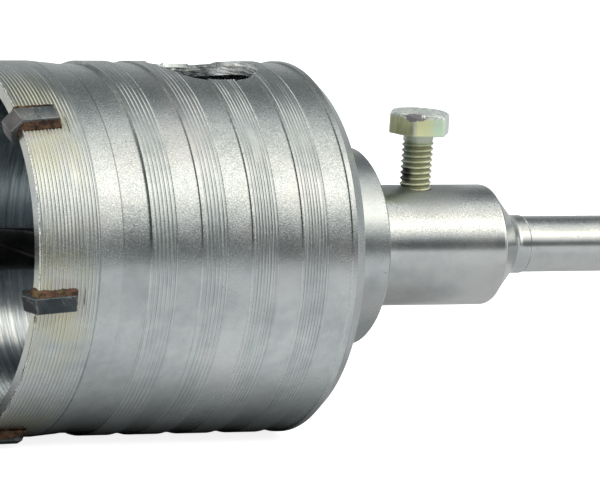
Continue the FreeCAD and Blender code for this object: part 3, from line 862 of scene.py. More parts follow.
@dataclass(frozen=True)
class YellowZinc:
    """Yellow-passivated zinc: olive, straw and mint by turns, dust, painted shade and glint, a bare
    dark patch.
    """

    name: str
    seat: float = SIZES.bolt_seat
    olive_dark: Colour = (0.49, 0.48, 0.27)
    olive_light: Colour = (0.60, 0.65, 0.41)
    straw: Colour = (0.83, 0.86, 0.51)
    mint: Colour = (0.70, 0.89, 0.68)
    blue: Colour = (0.78, 0.84, 0.86)
    corner: Colour = (0.80, 0.86, 0.83)
    top_dark: Colour = (0.55, 0.63, 0.61)
    top_light: Colour = (0.96, 0.98, 0.96)
    bare: Colour = (0.30, 0.285, 0.30)
    thread_dark: Colour = (0.60, 0.62, 0.42)
    thread_light: Colour = (0.74, 0.77, 0.58)
    root_shade: Colour = (0.23, 0.235, 0.13)
    neck: Colour = (0.50, 0.57, 0.51)
    shadow: Colour = (0.12, 0.16, 0.17)
    dark_blot: Colour = (0.012, 0.014, 0.014)
    dust: Colour = (0.24, 0.22, 0.15)
    patch_place: tuple[float, float, float] = (-2.75, -4.5, 23.4)

    def material(self) -> bpy.types.Material:
        """The finish as a material."""
        tree = FinishTree(self.name)
        x, y, z = tree.place()
        side = x - SIZES.bolt_place
        where = (side, y, z)
        grain = tree.speckle(where, 0.3, 3.0, 0.65)
        cloud = tree.speckle(where, 2.0, 3.0, 0.6)
        film = tree.speckle(where, 3.6, 2.0, 0.5)
        outward = (side * side + y * y) ** 0.5
        streak = tree.noise(tree.vector(side / 0.5, y / 0.5, z / 5.0), 2.0, 0.6)
        turn = side * 0.6 + film * 3.0
        olive = tree.mix(streak.rise(0.36, 0.64), self.olive_dark, self.olive_light)
        colour = tree.mix(turn.rise(-0.9, 0.0), olive, self.straw)
        colour = tree.mix(turn.rise(0.9, 2.0), colour, self.mint)
        colour = tree.mix(turn.rise(3.0, 4.2), colour, self.blue)
        # Painted highlight along the head's corners and its lower edge.
        edge = outward.rise(SIZES.head_corner - 0.035, SIZES.head_corner - 0.008)
        edge = edge + z.rise(self.seat + 0.35, self.seat + 0.15)
        colour = tree.mix(edge * 0.55, colour, self.corner)
        top = z.rise(self.seat + 2.9, self.seat + 3.6)
        speck = tree.speckle(where, 0.9, 3.0, 0.65).rise(0.44, 0.56)
        colour = tree.mix(top * 0.9, colour, tree.mix(speck, self.top_dark, self.top_light))
        colour = tree.mix(self.bare_patch(where, grain, cloud), colour, self.bare)
        thread = z.rise(self.seat - 0.1, self.seat - 0.4)
        worn = tree.mix(cloud.rise(0.35, 0.65), self.thread_dark, self.thread_light)
        colour = tree.mix(thread, colour, worn)
        # Painted shade in the roots of the lower thread.
        root = outward.rise(SIZES.thread_radius - 0.08, SIZES.thread_radius - 0.30) * thread
        colour = tree.mix(root * z.rise(18.8, 18.2) * 0.85, colour, self.root_shade)
        colour = tree.mix(thread * z.rise(18.4, 18.8) * 0.6, colour, self.neck)
        dark_side = side.rise(-1.5, -2.5) * thread * z.rise(19.5, 18.0)
        colour = tree.mix(dark_side * 0.5, colour, self.shadow)
        # A near-black blot low on the thread's left side, just above the hub.
        level = z + (cloud - 0.5) * 1.6
        low = level.rise(14.3, 13.7) * level.rise(11.5, 12.2) * side.rise(-1.6, -2.3) * thread
        colour = tree.mix(low * 0.85, colour, self.dark_blot)
        colour = tree.mix(grain.rise(0.62, 0.74) * 0.3, colour, self.dust)
        height = grain * 0.6 + cloud * 0.4
        return tree.finish(Base_Color=colour, Metallic=0.85, Roughness=0.28 + grain * 0.2,
                           Normal=tree.bump(height, 0.05))

    def bare_patch(self, where: Place, grain: Term, cloud: Term) -> Term:
        """Share of the dull patch rubbed bare on the head's chamfer, on the near side."""
        across, away, low = (part - middle for part, middle in zip(where, self.patch_place))
        reach = (across * across * 0.2 + away * away * 0.2 + low * low * 1.9) ** 0.5
        return (reach + (grain - 0.5) * 1.2 + (cloud - 0.5) * 2.2).rise(1.0, 0.9)


def dress(piece: bpy.types.Object, finish: bpy.types.Material, slot: str, *nodes: str) -> None:
    """Give a piece its finish, attach it to the body and hide the nodes that it stands for.

    Args:
        piece: the piece.
        finish: its material.
        slot: not used.
        nodes: the CAD nodes that it replaces.
    """
    piece.data.materials.clear()
    piece.data.materials.append(finish)
    piece.data.polygons.foreach_set("material_index", np.zeros(len(piece.data.polygons), np.int32))
    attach(piece, BODY)
    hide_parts(*nodes)
    log.info("%s: %d faces", piece.name, len(piece.data.polygons))


@dataclass(frozen=True)
class TipSeats:
    """Where the tips sit: the turn of each slot, and how each tip was set in it by hand."""

    first_angle: float = -7.1
    wall_radius: float = 32.0
    middle: float = 2.95
    slot_share: float = 0.8
    snug: int = 0
    snug_side: float = -0.9
    settings: tuple[tuple[float, float], ...] = (
        (0.4, 4.5), (-0.4, 5.5), (0.0, 5.0), (0.1, 4.0), (-0.1, 5.5), (0.15, 5.0))

    @property
    def first_direction(self) -> float:
        """Direction of the first slot from +Y towards +Z, in degrees."""
        return 180.0 - self.first_angle

    def turn(self, index: int) -> float:
        """Turn of a slot from straight up towards the near side, in degrees."""
        return 90.0 - self.first_angle - index * 360.0 / TIP_COUNT

    def askew(self, points: np.ndarray, index: int, share: float = 1.0) -> np.ndarray:
        """Points of an upright seat, turned about the middle of the slot by a tip's skew.

        Args:
            points: places in the upright seat, from the rim plane.
            index: which tip.
            share: how much of its skew to use.
        Returns:
            The turned places.
        """
        turn = math.radians(self.settings[index][1] * share)
        hand = np.array([[math.cos(turn), -math.sin(turn), 0.0],
                         [math.sin(turn), math.cos(turn), 0.0], [0.0, 0.0, 1.0]])
        middle = np.array([self.middle, 0.0, 0.0])
        return (points - middle) @ hand.T + middle


@dataclass
class Barrel:
    """The turned cup: grooved bands outside, a bore with rough turning, a window and six slots."""

    radius: float = SIZES.barrel_radius
    bore: float = SIZES.bore
    depth: float = SIZES.cup_depth
    base_rear: float = 61.9
    boss_radius: float = 17.4
    boss_rear: float = SIZES.boss_rear
    spigot_radius: float = SIZES.spigot_radius
    rim_chamfer: float = 0.2
    boss_chamfer: float = 0.4
    corner: float = 2.0
    columns: int = 256
    groove_depth: float = 0.11
    rounding: float = 0.022
    band_length: float = 5.0
    front_end: float = 11.3
    front_drop: float = 0.4
    front_land_drop: float = 0.55
    land_drop: float = 0.3
    step_run: float = 0.03
    last_band_end: float = 59.5
    rear_chamfer: float = 2.1
    window_centre: float = SIZES.window_centre
    window_radius: float = SIZES.window_radius
    window_floor: float = 24.0
    ragged_ring: float = 9.0
    window_steps: tuple[tuple[float, float | None], ...] = (
        (0.0, None), (0.0, -1.35), (0.22, -1.28), (0.26, -0.85), (0.55, -0.70), (0.80, 0.03),
        (1.4, 3.0))
    torn_direction: float = 2.4
    slot_width: float = 4.0
    slot_length: float = 7.0
    slot_front: float = -4.0
    slot_bottom: float = 27.0
    slot_top: float = 37.0
    grooves: tuple[tuple[float, float, int], ...] = (
        (0.45, 11.25, 17), (21.5, 25.35, 6), (31.3, 34.8, 6), (40.3, 44.3, 8), (49.7, 53.7, 8))

    def outer_profile(self) -> tuple[list[tuple[float, float]], list[float]]:
        """Outside from the rim to the boss's rear face.

        Each groove takes five points: the crest before it, its two shoulders, which lie a little
        lower, and the two sides of its floor.

        Returns:
            The points as distance and radius, and how deep each point lies in a groove.
        """
        draw = np.random.default_rng(11)
        radius = self.radius
        land, front_land = radius - self.land_drop, radius - self.front_land_drop
        lands = [(self.rim_chamfer, radius), (self.front_end, radius)]
        lands += [(SIZES.front_step, radius - self.front_drop),
                  (SIZES.front_step + 0.02, front_land), (SIZES.first_band, front_land)]
        for band in range(SIZES.band_count - 1):
            start = SIZES.first_band + band * SIZES.band_pitch
            end = start + self.band_length
            lands += [(start + self.step_run, radius), (end, radius), (end + self.step_run, land),
                      (start + SIZES.band_pitch, land)]
        lands += [(SIZES.last_band + self.step_run, radius), (self.last_band_end, radius),
                  (self.last_band_end + 0.25, radius - 0.12),
                  (self.base_rear - 0.25, radius - self.rear_chamfer + 0.25),
                  (self.base_rear, radius - self.rear_chamfer)]
        points = [(place, size, 0.0) for place, size in lands]
        for start, end, count in self.grooves:
            gap = (end - start) / (count - 1)
            for k in range(count):
                middle = start + k * gap + draw.uniform(-0.05, 0.05) * gap
                half = draw.uniform(0.16, 0.21)
                depth = self.groove_depth * draw.uniform(0.75, 1.15)
                shoulder, floor = radius - self.rounding, radius - depth
                points += [(middle - gap / 2, radius, 0.0), (middle - half, shoulder, 0.0),
                           (middle - half * 0.3, floor, depth), (middle + half * 0.3, floor, depth),
                           (middle + half, shoulder, 0.0)]
        points.sort()
        return [(place, size) for place, size, _ in points], [depth for *_, depth in points]

    def shell(self) -> Shell:
        """The whole cup as a ring: rim, outside, base, boss, base bore, floor and inside."""
        outside, depths = self.outer_profile()
        sweep = np.linspace(0.0, math.pi / 2, 7)
        centre = (self.depth - self.corner, self.bore - self.corner)
        fillet = [(centre[0] + self.corner * math.sin(a), centre[1] + self.corner * math.cos(a))
                  for a in sweep[::-1]]
        rim = [(0.0, self.bore + self.rim_chamfer), (0.0, self.radius - self.rim_chamfer)]
        boss = [(self.base_rear, self.boss_radius + 0.15), (self.base_rear + 0.1, self.boss_radius),
                (self.boss_rear - self.boss_chamfer, self.boss_radius),
                (self.boss_rear, self.boss_radius - self.boss_chamfer),
                (self.boss_rear, self.spigot_radius), (self.depth, self.spigot_radius)]
        inside = [(place, self.bore) for place in np.linspace(self.depth - 4.0, 0.2, 12)]
        profile = np.array(rim + outside + boss + fillet + inside)
        rows = turned_rows(profile, self.columns, self.swell(profile, len(rim), depths))
        return grid_shell(rows, Shade.ROUND_X, poles=False)

    def swell(self, profile: np.ndarray, first: int, depths: list[float]) -> np.ndarray:
        """Unevenness of the turned outside.

        Each groove's floor rises and falls by a third of its depth round the axis, and the rim's
        outer edge is nicked inwards where a fine noise is high.

        Args:
            profile: the whole profile.
            first: number of the first outside point.
            depths: depth in a groove of each outside point.
        Returns:
            Additions to the radius, shaped (profile points, columns).
        """
        rows = turned_rows(profile, self.columns)
        swell = np.zeros(rows.shape[:2])
        floor = slice(first, first + len(depths))
        uneven = waves(rows[floor] * np.array([3.0, 1.0, 1.0]), 14.0, seed=5)
        swell[floor] += uneven * np.array(depths)[:, None] * 0.33
        nick = np.clip(waves(rows[1:3], 2.2, seed=8) - 0.35, 0.0, 1.0)
        swell[1:3] -= nick * 0.35
        return swell

    def window_cutter(self) -> Shell:
        """Upright round cutter that follows the barrel's top with a small chamfer at its edge.

        Ring point at angle a lies at (centre + r cos a, r sin a), and the chamfer's height there
        is that of the barrel's surface, the root of radius squared less (r sin a) squared.
        """
        turn = np.linspace(0.0, 2 * math.pi, 128, endpoint=False)
        torn = 0.5 + 0.5 * np.cos(turn - self.torn_direction)
        ragged = np.stack([np.cos(turn), np.sin(turn), np.zeros_like(turn)], axis=1)
        ragged *= self.ragged_ring
        rows = []
        for level, (extra, over) in enumerate(self.window_steps):
            uneven = 0.10 * waves(ragged, 3.0, seed=3) + 0.05 * waves(ragged, 1.4, seed=30 + level)
            radius = self.window_radius + extra * (0.35 + 0.65 * torn) + uneven
            across = radius * np.sin(turn)
            if over is None:
                height = np.full_like(turn, self.window_floor)
            else:
                height = np.sqrt(self.radius ** 2 - across ** 2) + over
            along = self.window_centre + radius * np.cos(turn)
            rows.append(np.stack([along, across, height], axis=1))
        return grid_shell(np.array(rows), Shade.ROUND_Z)

    def slot_cutter(self, index: int) -> Shell:
        """Block that cuts one tip slot."""
        half = self.slot_width / 2
        outline = [(self.slot_front, self.slot_bottom), (self.slot_front, self.slot_top),
                   (self.slot_length, self.slot_top), (self.slot_length, self.slot_bottom)]
        seats = TipSeats()
        cutter = prism(outline, seats.snug_side if index == seats.snug else -half, half)
        skewed = seats.askew(cutter.points, index, seats.slot_share)
        cutter.points = turn_about_x(skewed, seats.turn(index))
        return cutter

    def build(self) -> bpy.types.Object:
        """The cup with its window and slots cut."""
        cutter = self.window_cutter()
        for index in range(TIP_COUNT):
            cutter = cutter.joined(self.slot_cutter(index))
        piece = carved("barrel", self.shell().mesh("barrel"), cutter)
        window = np.array([self.window_centre, 0.0, 0.0])
        shade_round(piece, {Shade.ROUND_X: Turning(np.zeros(3), X_AXIS),
                            Shade.ROUND_Z: Turning(window, Z_AXIS)})
        dress(piece, BarrelSteel("barrel_steel").material(), "barrel_steel", "core_barrel")
        return piece


@dataclass
class Arbor:
    """Hub, neck and slotted shank turned from one bar, on a spigot screwed into the barrel."""

    spigot_front: float = SIZES.spigot_front
    spigot_radius: float = SIZES.spigot_radius
    hub_front: float = SIZES.boss_rear
    hub_rear: float = 99.95
    hub_radius: float = 10.7
    neck_radius: float = 5.2
    neck_end: float = 107.3
    taper_length: float = 4.8
    neck_cove: float = 2.6
    hub_chamfer: float = 0.4
    spigot_chamfer: float = 1.0
    shank_chamfer: float = 0.9
    shank_radius: float = 5.0
    end: float = 160.3
    bore: float = 4.03
    bore_end: float = 95.0
    bolt_place: float = SIZES.bolt_place
    bolt_hole: float = 3.05
    slot_length: float = 27.5
    slot_depth: float = 1.5
    slot_width: float = 3.0
    groove_radius: float = 3.4
    groove_depth: float = 1.6
    groove_length: float = 18.5
    groove_setback: float = 8.0
    columns: int = 144

    def shell(self) -> Shell:
        """The bar from the end of its bore, round its outside, to the shank's end.

        The cove is an arc that touches the taper and the neck. Its middle lies beyond the
        taper's end by the cove's radius times the tangent of half the taper's slope.
        """
        hub, neck, shank = self.hub_radius, self.neck_radius, self.shank_radius
        slope = math.atan2(hub - self.hub_chamfer - neck, self.taper_length)
        middle = self.hub_rear + self.taper_length + self.neck_cove * math.tan(slope / 2)
        sweep = np.linspace(slope, 0.0, 9)
        cove = [(middle - self.neck_cove * math.sin(a),
                 neck + self.neck_cove * (1 - math.cos(a))) for a in sweep]
        profile = [(self.bore_end + 2.4, 0.02), (self.bore_end, self.bore),
                   (self.spigot_front, self.bore),
                   (self.spigot_front, self.spigot_radius - self.spigot_chamfer),
                   (self.spigot_front + self.spigot_chamfer, self.spigot_radius),
                   (self.hub_front, self.spigot_radius), (self.hub_front, hub - 0.15),
                   (self.hub_front + 0.15, hub), (self.hub_rear - 0.75, hub),
                   (self.hub_rear - 0.38, hub - 0.06), (self.hub_rear - 0.1, hub - 0.2),
                   (self.hub_rear, hub - self.hub_chamfer), *cove, (self.neck_end - 0.1, neck),
                   (self.neck_end, shank - 0.14), (self.neck_end + 0.16, shank - 0.12),
                   (self.neck_end + 0.3, shank), (self.end - self.shank_chamfer, shank),
                   (self.end, shank - self.shank_chamfer), (self.end, 0.02)]
        return grid_shell(turned_rows(np.array(profile), self.columns), Shade.ROUND_X)

    def bolt_hole_cutter(self) -> Shell:
        """Upright round hole with a 45 degree countersink that breaks the hub's top."""
        turn = np.linspace(0.0, 2 * math.pi, 64, endpoint=False)
        steps = ((self.bolt_hole, 0.5), (self.bolt_hole, self.hub_radius - 0.5),
                 (self.bolt_hole + 1.0, self.hub_radius + 0.5), (self.bolt_hole + 1.0, 13.0))
        rows = [np.stack([self.bolt_place + r * np.cos(turn), r * np.sin(turn),
                          np.full_like(turn, z)], axis=1) for r, z in steps]
        return grid_shell(np.array(rows), Shade.ROUND_Z)

    def drive_slot_cutter(self, side: int) -> Shell:
        """Block for one driving slot, open at the shank's end, with a 45 degree run-in."""
        start = self.end - self.slot_length
        floor, above = self.shank_radius - self.slot_depth, self.shank_radius + self.slot_depth
        outline = [(start, side * above), (start + 2 * self.slot_depth, side * floor),
                   (self.end + 1.0, side * floor), (self.end + 1.0, side * above)]
        return prism(outline, -self.slot_width / 2, self.slot_width / 2)

    def lock_groove_cutter(self, side: int) -> Shell:
        """Round-ended bar for one locking groove, lying beside the shank."""
        radius = self.groove_radius
        rear = self.end - self.groove_setback
        front = rear - self.groove_length
        sweep = np.linspace(0.01, math.pi / 2, 12)
        profile = [(front + radius - radius * math.cos(a), radius * math.sin(a)) for a in sweep]
        profile += [(rear - radius + radius * math.cos(a), radius * math.sin(a))
                    for a in sweep[::-1]]
        bar = grid_shell(turned_rows(np.array(profile), 72), Shade.SIDE_GROOVE)
        bar.points[:, 1] += side * (self.shank_radius - self.groove_depth + radius)
        return bar

    def build(self) -> bpy.types.Object:
        """The arbor with its bolt hole, driving slots and locking grooves cut."""
        cutter = self.bolt_hole_cutter()
        for side in (1, -1):
            cutter = cutter.joined(self.drive_slot_cutter(side))
            cutter = cutter.joined(self.lock_groove_cutter(side))
        piece = carved("arbor_bar", self.shell().mesh("arbor_bar"), cutter)
        hole = np.array([self.bolt_place, 0.0, 0.0])
        shade_round(piece, {Shade.ROUND_X: Turning(np.zeros(3), X_AXIS),
                            Shade.ROUND_Z: Turning(hole, Z_AXIS)})
        finish = ArborSteel("arbor_steel", light=(0.62, 0.645, 0.64), dark=(0.53, 0.56, 0.56),
                            roughness=0.14, ring_share=1.2, depth=0.012, sparkle=(2.0, 4.5))
        dress(piece, finish.material(), "arbor_steel", "arbor")
        return piece


@dataclass
class ClampBolt:
    """Hex-head bolt with a rolled M6 thread, through the hub onto the pilot drill's tail."""

    place_along: float = SIZES.bolt_place
    radius: float = SIZES.thread_radius
    thread_pitch: float = 1.0
    thread_depth: float = 0.4
    plain_length: float = 1.6
    point: float = 4.0
    point_radius: float = 2.3
    seat: float = SIZES.bolt_seat
    underside_radius: float = 4.7
    head_height: float = 4.0
    flats: float = 10.0
    face_radius: float = 4.75
    chamfer_angle: float = 30.0
    head_turn: float = -4.5
    corner_radius: float = SIZES.head_corner
    columns: int = 120
    rows_per_pitch: int = 18

    def rows(self) -> np.ndarray:
        """Rows of the whole bolt, from its point up its thread to the head's top.

        On the thread the radius falls from crest to root with the distance, in turns, from the
        helix: s = height / pitch - angle / full turn, with a flat crest and a flat root.
        """
        turn = np.linspace(0.0, 2 * math.pi, self.columns, endpoint=False)
        spacing = self.thread_pitch / self.rows_per_pitch
        heights = np.arange(self.point, self.seat, spacing)[:, None]
        phase = (heights / self.thread_pitch - turn / (2 * math.pi)) % 1.0
        slope = np.clip((np.abs(phase - 0.5) * 2 - 0.1) / 0.7, 0.0, 1.0)
        run_out = np.clip((heights - self.seat + self.plain_length) / 0.7, 0.0, 1.0)
        radius = self.radius - self.thread_depth * slope * (1 - run_out) - 0.15 * run_out
        radius = np.minimum(radius, self.point_radius + (heights - self.point))
        levels = [np.broadcast_to(heights, radius.shape), radius]
        corner = np.mod(turn - math.radians(self.head_turn) + math.pi / 6, math.pi / 3) - math.pi / 6
        flat_at = np.mod(corner + math.pi / 3, math.pi / 3) - math.pi / 6
        hexagon = np.minimum(self.flats / 2 / np.cos(flat_at), self.corner_radius)
        slant = math.tan(math.radians(self.chamfer_angle))
        top = self.seat + self.head_height
        edge = top - np.maximum(hexagon - self.face_radius, 0.0) * slant
        full = np.ones_like(turn)
        head = [(self.seat * full, self.underside_radius * full),
                (self.seat * full + 0.12, hexagon - 0.1),
                (self.seat * full + 0.25, hexagon), (edge - 0.12, hexagon),
                (edge, hexagon - 0.05), (top * full, self.face_radius * full),
                (top * full, 3.0 * full), (top * full, 1.0 * full)]
        levels = [np.vstack([levels[k], *[step[k][None] for step in head]]) for k in range(2)]
        along = self.place_along + levels[1] * np.cos(turn)
        return np.stack([along, levels[1] * np.sin(turn), levels[0]], axis=-1)

    def build(self) -> bpy.types.Object:
        """The bolt."""
        shell = grid_shell(self.rows(), Shade.FLAT)
        piece = new_object("bolt", shell.mesh("bolt"))
        shade_by_angle(piece, 26.0)
        dress(piece, YellowZinc("zinc_steel").material(), "zinc_steel", "clamp_bolt")
        return piece


@dataclass
class PilotDrill:
    """Twist drill with two helical flutes and a carbide plate across its point."""

    reach: float = 26.0
    front: float = -25.2
    body_radius: float = 3.6
    tail_radius: float = 4.0
    body_end: float = SIZES.spigot_front
    tail: float = 94.5
    point_angle: float = 118.0
    flute_radius: float = 3.2
    flute_offset: float = 4.7
    flute_pitch: float = 60.0
    flute_start: float = -28.4
    flute_end: float = 48.8
    flute_fade: float = 7.0
    plate_thickness: float = 1.8
    plate_width: float = 8.0
    plate_length: float = 7.0
    plate_angle: float = 130.0
    plate_edge: float = 0.12
    slot_reach: float = 8.0
    columns_in_flute: int = 36
    columns_on_land: int = 22

    @property
    def plate_turn(self) -> float:
        """Turn of the plate about the axis: a quarter turn from the flutes beside it."""
        middle = self.plate_length / 2 - self.reach
        return 90.0 + 360.0 * (middle - self.flute_start) / self.flute_pitch

    def section_angles(self) -> tuple[np.ndarray, np.ndarray]:
        """Column angles from the first flute's middle, and how near each lies to a land's edge.

        A flute's edge is where its circle meets the drill's: the angle whose cosine is
        (R^2 + c^2 - r^2) / (2 R c), for the drill's radius R and the flute's offset c and radius r.
        """
        body, offset, flute = self.body_radius, self.flute_offset, self.flute_radius
        edge = math.acos((body ** 2 + offset ** 2 - flute ** 2) / (2 * body * offset))
        in_flute = np.linspace(-edge, edge, self.columns_in_flute, endpoint=False)
        on_land = np.linspace(edge, math.pi - edge, self.columns_on_land, endpoint=False)
        half = np.concatenate([in_flute, on_land])
        angles = np.concatenate([half, half + math.pi])
        from_edge = np.abs(np.abs(np.mod(angles + math.pi / 2, math.pi) - math.pi / 2) - edge)
        return angles, np.exp(-from_edge / 0.07)

    def body_rows(self) -> tuple[np.ndarray, np.ndarray]:
        """Rows of the drill's body and the wear of its edges.

        In a flute, the radius at an angle a from its middle is c cos a - root(r^2 - c^2 sin^2 a);
        the offset c grows over the last stretch, so that the flute runs out. The whole section
        turns by a full turn in each pitch, and the point cuts it to a cone.
        """
        angles, near_edge = self.section_angles()
        slope = math.tan(math.radians(self.point_angle / 2))
        nose = self.front + self.body_radius / slope
        places = np.concatenate([
            np.linspace(self.front + 0.05, nose, 8), np.linspace(nose + 0.3, self.flute_end, 150),
            [self.body_end - 0.3, self.body_end, self.body_end + 0.02, self.tail - 0.5, self.tail]])
        full = np.where(places > self.body_end, self.tail_radius, self.body_radius)
        full = np.minimum(full, (places - self.front) * slope)
        full[-1] -= 0.5
        rest = self.body_radius + self.flute_radius - self.flute_offset + 0.1
        fade = np.clip((places - self.flute_end + self.flute_fade) / self.flute_fade, 0.0, 1.0)
        offset = (self.flute_offset + rest * fade ** 2)[:, None]
        lean = np.mod(angles + math.pi / 2, math.pi) - math.pi / 2
        inside = self.flute_radius ** 2 - (offset * np.sin(lean)) ** 2
        cut = offset * np.cos(lean) - np.sqrt(np.maximum(inside, 0.0))
        cut = np.where(inside > 0.0, cut, np.inf)
        radius = np.minimum(full[:, None], cut)
        helix = 2 * math.pi * (places - self.flute_start) / self.flute_pitch + math.pi / 2
        direction = angles[None, :] + helix[:, None]
        along = np.broadcast_to(places[:, None], radius.shape)
        rows = np.stack([along, radius * np.cos(direction), radius * np.sin(direction)], axis=-1)
        wear = near_edge[None, :] * (1.0 - fade[:, None])
        return rows, wear

    def build(self) -> None:
        """The drill's body with its slot, and the plate in it."""
        rows, wear = self.body_rows()
        shell = grid_shell(rows, Shade.ROUND_X)
        rear = self.plate_length - self.reach
        mouth, high = -self.reach - self.plate_length, self.slot_reach
        outline = [(mouth, high), (rear, high), (rear, -high), (mouth, -high)]
        slot = prism(outline, -self.plate_thickness / 2, self.plate_thickness / 2)
        slot.points = turn_about_x(slot.points, self.plate_turn)
        plain = shell.mesh("pilot_body")
        mark = plain.attributes.new("wear", "FLOAT", "POINT")
        values = np.concatenate([wear.ravel(), np.zeros(2)])
        mark.data.foreach_set("value", values.astype(np.float32))
        piece = carved("pilot_body", plain, slot)
        shade_by_angle(piece, 28.0)
        dress(piece, BlackOxide("black_steel").material(), "black_steel", "pilot_drill")
        self.build_plate()

    def build_plate(self) -> None:
        """The carbide plate with its roof-shaped point."""
        half = self.plate_width / 2
        shoulder = half / math.tan(math.radians(self.plate_angle / 2)) - self.reach
        rear = self.plate_length - self.reach
        outline = [(-self.reach, 0.0), (shoulder, half), (rear, half), (rear, -half),
                   (shoulder, -half)]
        plate = prism(outline, -self.plate_thickness / 2, self.plate_thickness / 2)
        plate.points = turn_about_x(plate.points, self.plate_turn)
        piece = bevelled("pilot_plate", plate, self.plate_edge)
        dress(piece, SinteredCarbide("pilot_carbide").material(), "carbide", "pilot_tip")


@dataclass
class CuttingTip:
    """One carbide tip in its slot, with a roof-shaped front ground back behind its edge."""

    index: int
    outer: float = 34.1
    height: float = 5.7
    thickness: float = 2.8
    length: float = 7.4
    overhang: float = 0.75
    ridge_drop: float = 2.85
    ridge_rise: float = 1.4
    inner_rise: float = 1.25
    clearance: float = 12.0
    edge: float = 0.13
    # Lit share of each tip: below 1, painted shade darkens the tip and dims its edges' glint.
    lit_shares: tuple[float, ...] = (0.35, 1.0, 0.8, 0.9, 0.7, 0.4)

    def face(self, side: int) -> np.ndarray:
        """Corners of the leading (1) or trailing (-1) face, seen from the side."""
        skew = side * self.thickness / 2 * math.tan(math.radians(self.clearance))
        front = -self.overhang - skew
        ridge = front - self.ridge_rise
        rear = self.length - self.overhang
        inner = self.outer - self.height
        outline = [(front, self.outer), (rear, self.outer), (rear, inner),
                   (ridge + self.inner_rise, inner), (ridge, self.outer - self.ridge_drop)]
        return np.array([(x, side * self.thickness / 2, z) for x, z in outline])

    def build(self) -> bpy.types.Object:
        """The tip with its edges slightly broken, set in its slot."""
        points = np.vstack([self.face(1), self.face(-1)])
        seats = TipSeats()
        shift = np.array([0.0, seats.settings[self.index][0], 0.0])
        points = turn_about_x(seats.askew(points, self.index) + shift, seats.turn(self.index))
        name = f"tip_{self.index + 1}"
        piece = bevelled(name, block(points), self.edge)
        finish = SinteredCarbide(name, self.lit_shares[self.index])
        dress(piece, finish.material(), "carbide", f"carbide_tip_{self.index + 1}")
        return piece


@dataclass
class BrazeBead:
    """Braze round one tip: the slot's filling with a lumpy bead against the tip's sides."""

    index: int
    voxel: float = 0.14
    lump: float = 0.09
    lump_length: float = 1.6
    crumb: float = 0.05
    crumb_length: float = 0.55
    snug_cover: float = 0.1

    def build(self) -> bpy.types.Object:
        """The bead: the node's solid remeshed, smoothed and pushed in and out by noise."""
        node = f"braze_{self.index + 1}"
        name = f"bead_{self.index + 1}"
        piece = new_object(name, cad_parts[node].data.copy())
        weld = piece.modifiers.new("weld", "WELD")
        weld.merge_threshold = 1e-6
        remesh = piece.modifiers.new("remesh", "REMESH")
        remesh.mode = "VOXEL"
        remesh.voxel_size = self.voxel * MM
        smooth = piece.modifiers.new("smooth", "SMOOTH")
        smooth.factor = 0.5
        smooth.iterations = 5
        carry_out(piece)
        mesh = piece.data
        points = read(mesh.vertices, "co", 3) / MM
        normals = read(mesh.vertex_normals, "vector", 3)
        push = self.lump * waves(points, self.lump_length, seed=20 + self.index)
        push += self.crumb * waves(points, self.crumb_length, seed=40 + self.index)
        seats, rim = TipSeats(), np.array([RIM_PLACE, 0.0, 0.0])
        upright = turn_about_x(points + normals * push[:, None] - rim, -seats.turn(self.index))
        if self.index == seats.snug:
            upright[:, 1] = np.maximum(upright[:, 1], seats.snug_side + self.snug_cover)
        skewed = seats.askew(upright, self.index, seats.slot_share)
        moved = (turn_about_x(skewed, seats.turn(self.index)) + rim) * MM
        mesh.vertices.foreach_set("co", moved.ravel())
        mesh.update()
        mesh.polygons.foreach_set("use_smooth", np.ones(len(mesh.polygons), dtype=bool))
        dress(piece, BRAZE.material(), "braze", node)
        return piece


def neutral(level: float) -> Colour:
    """Neutral colour of a level."""
    return (level, level, level)


@dataclass(frozen=True)
class TablePaper:
    """The table's paper: greys by place that the steel mirrors, painted shadow near the bit, its own
    glow.
    """

    # The greys darker than plain, near and under the barrel and hub, are painted shadow of the bit.
    plain: float = 0.62
    before_mouth: float = 0.48
    before_base: float = 0.64
    shade_beside_barrel: float = 0.26
    before_hub: float = 0.31
    shade_beside_hub: float = 0.18
    under_shank: float = 0.38
    far_mouth: float = 0.43
    far_middle: float = 0.61
    far_base: float = 0.44
    beyond_mouth: float = 0.64
    shadow_under_barrel: Colour = (0.05, 0.055, 0.055)
    slant: float = 0.48
    seen_glow: float = 0.85
    mirrored_glow: float = 0.2

    def shade(self, tree: FinishTree) -> tuple[Term, Term]:
        """The paper's grey by place, with painted shadow under the barrel, and 1 where that shadow
        is.

        The far paper's greys run askew, along lines that the barrel's flank mirrors as rings:
        their place is the distance along the bit plus a slant of that across it.
        """
        along, across, _ = tree.place()
        source = along + (across + 32.0) * self.slant
        near = tree.mix(along.rise(24.0, 36.0), neutral(self.before_mouth), neutral(self.before_base))
        near = tree.mix(across.rise(-40.0, -20.0), near, neutral(self.shade_beside_barrel))
        hub = tree.mix(across.rise(-28.0, -8.0), neutral(self.before_hub), neutral(self.shade_beside_hub))
        hub = tree.mix(along.rise(98.0, 108.0), hub, neutral(self.under_shank))
        near = tree.mix(along.rise(68.0, 82.0), near, hub)
        far = tree.mix(source.rise(44.0, 51.0), neutral(self.far_mouth), neutral(self.far_middle))
        far = tree.mix(source.rise(56.0, 90.0), far, neutral(self.far_base))
        shade = tree.mix(across.rise(-50.0, -85.0), near, far)
        shade = tree.mix(along.rise(10.0, -25.0), shade, neutral(self.beyond_mouth))
        # Painted shadow of the barrel on the paper beneath it.
        under = across.rise(-31.0, -5.0) * across.rise(60.0, 30.0) * along.rise(72.0, 60.0)
        return tree.mix(under, shade, self.shadow_under_barrel), under


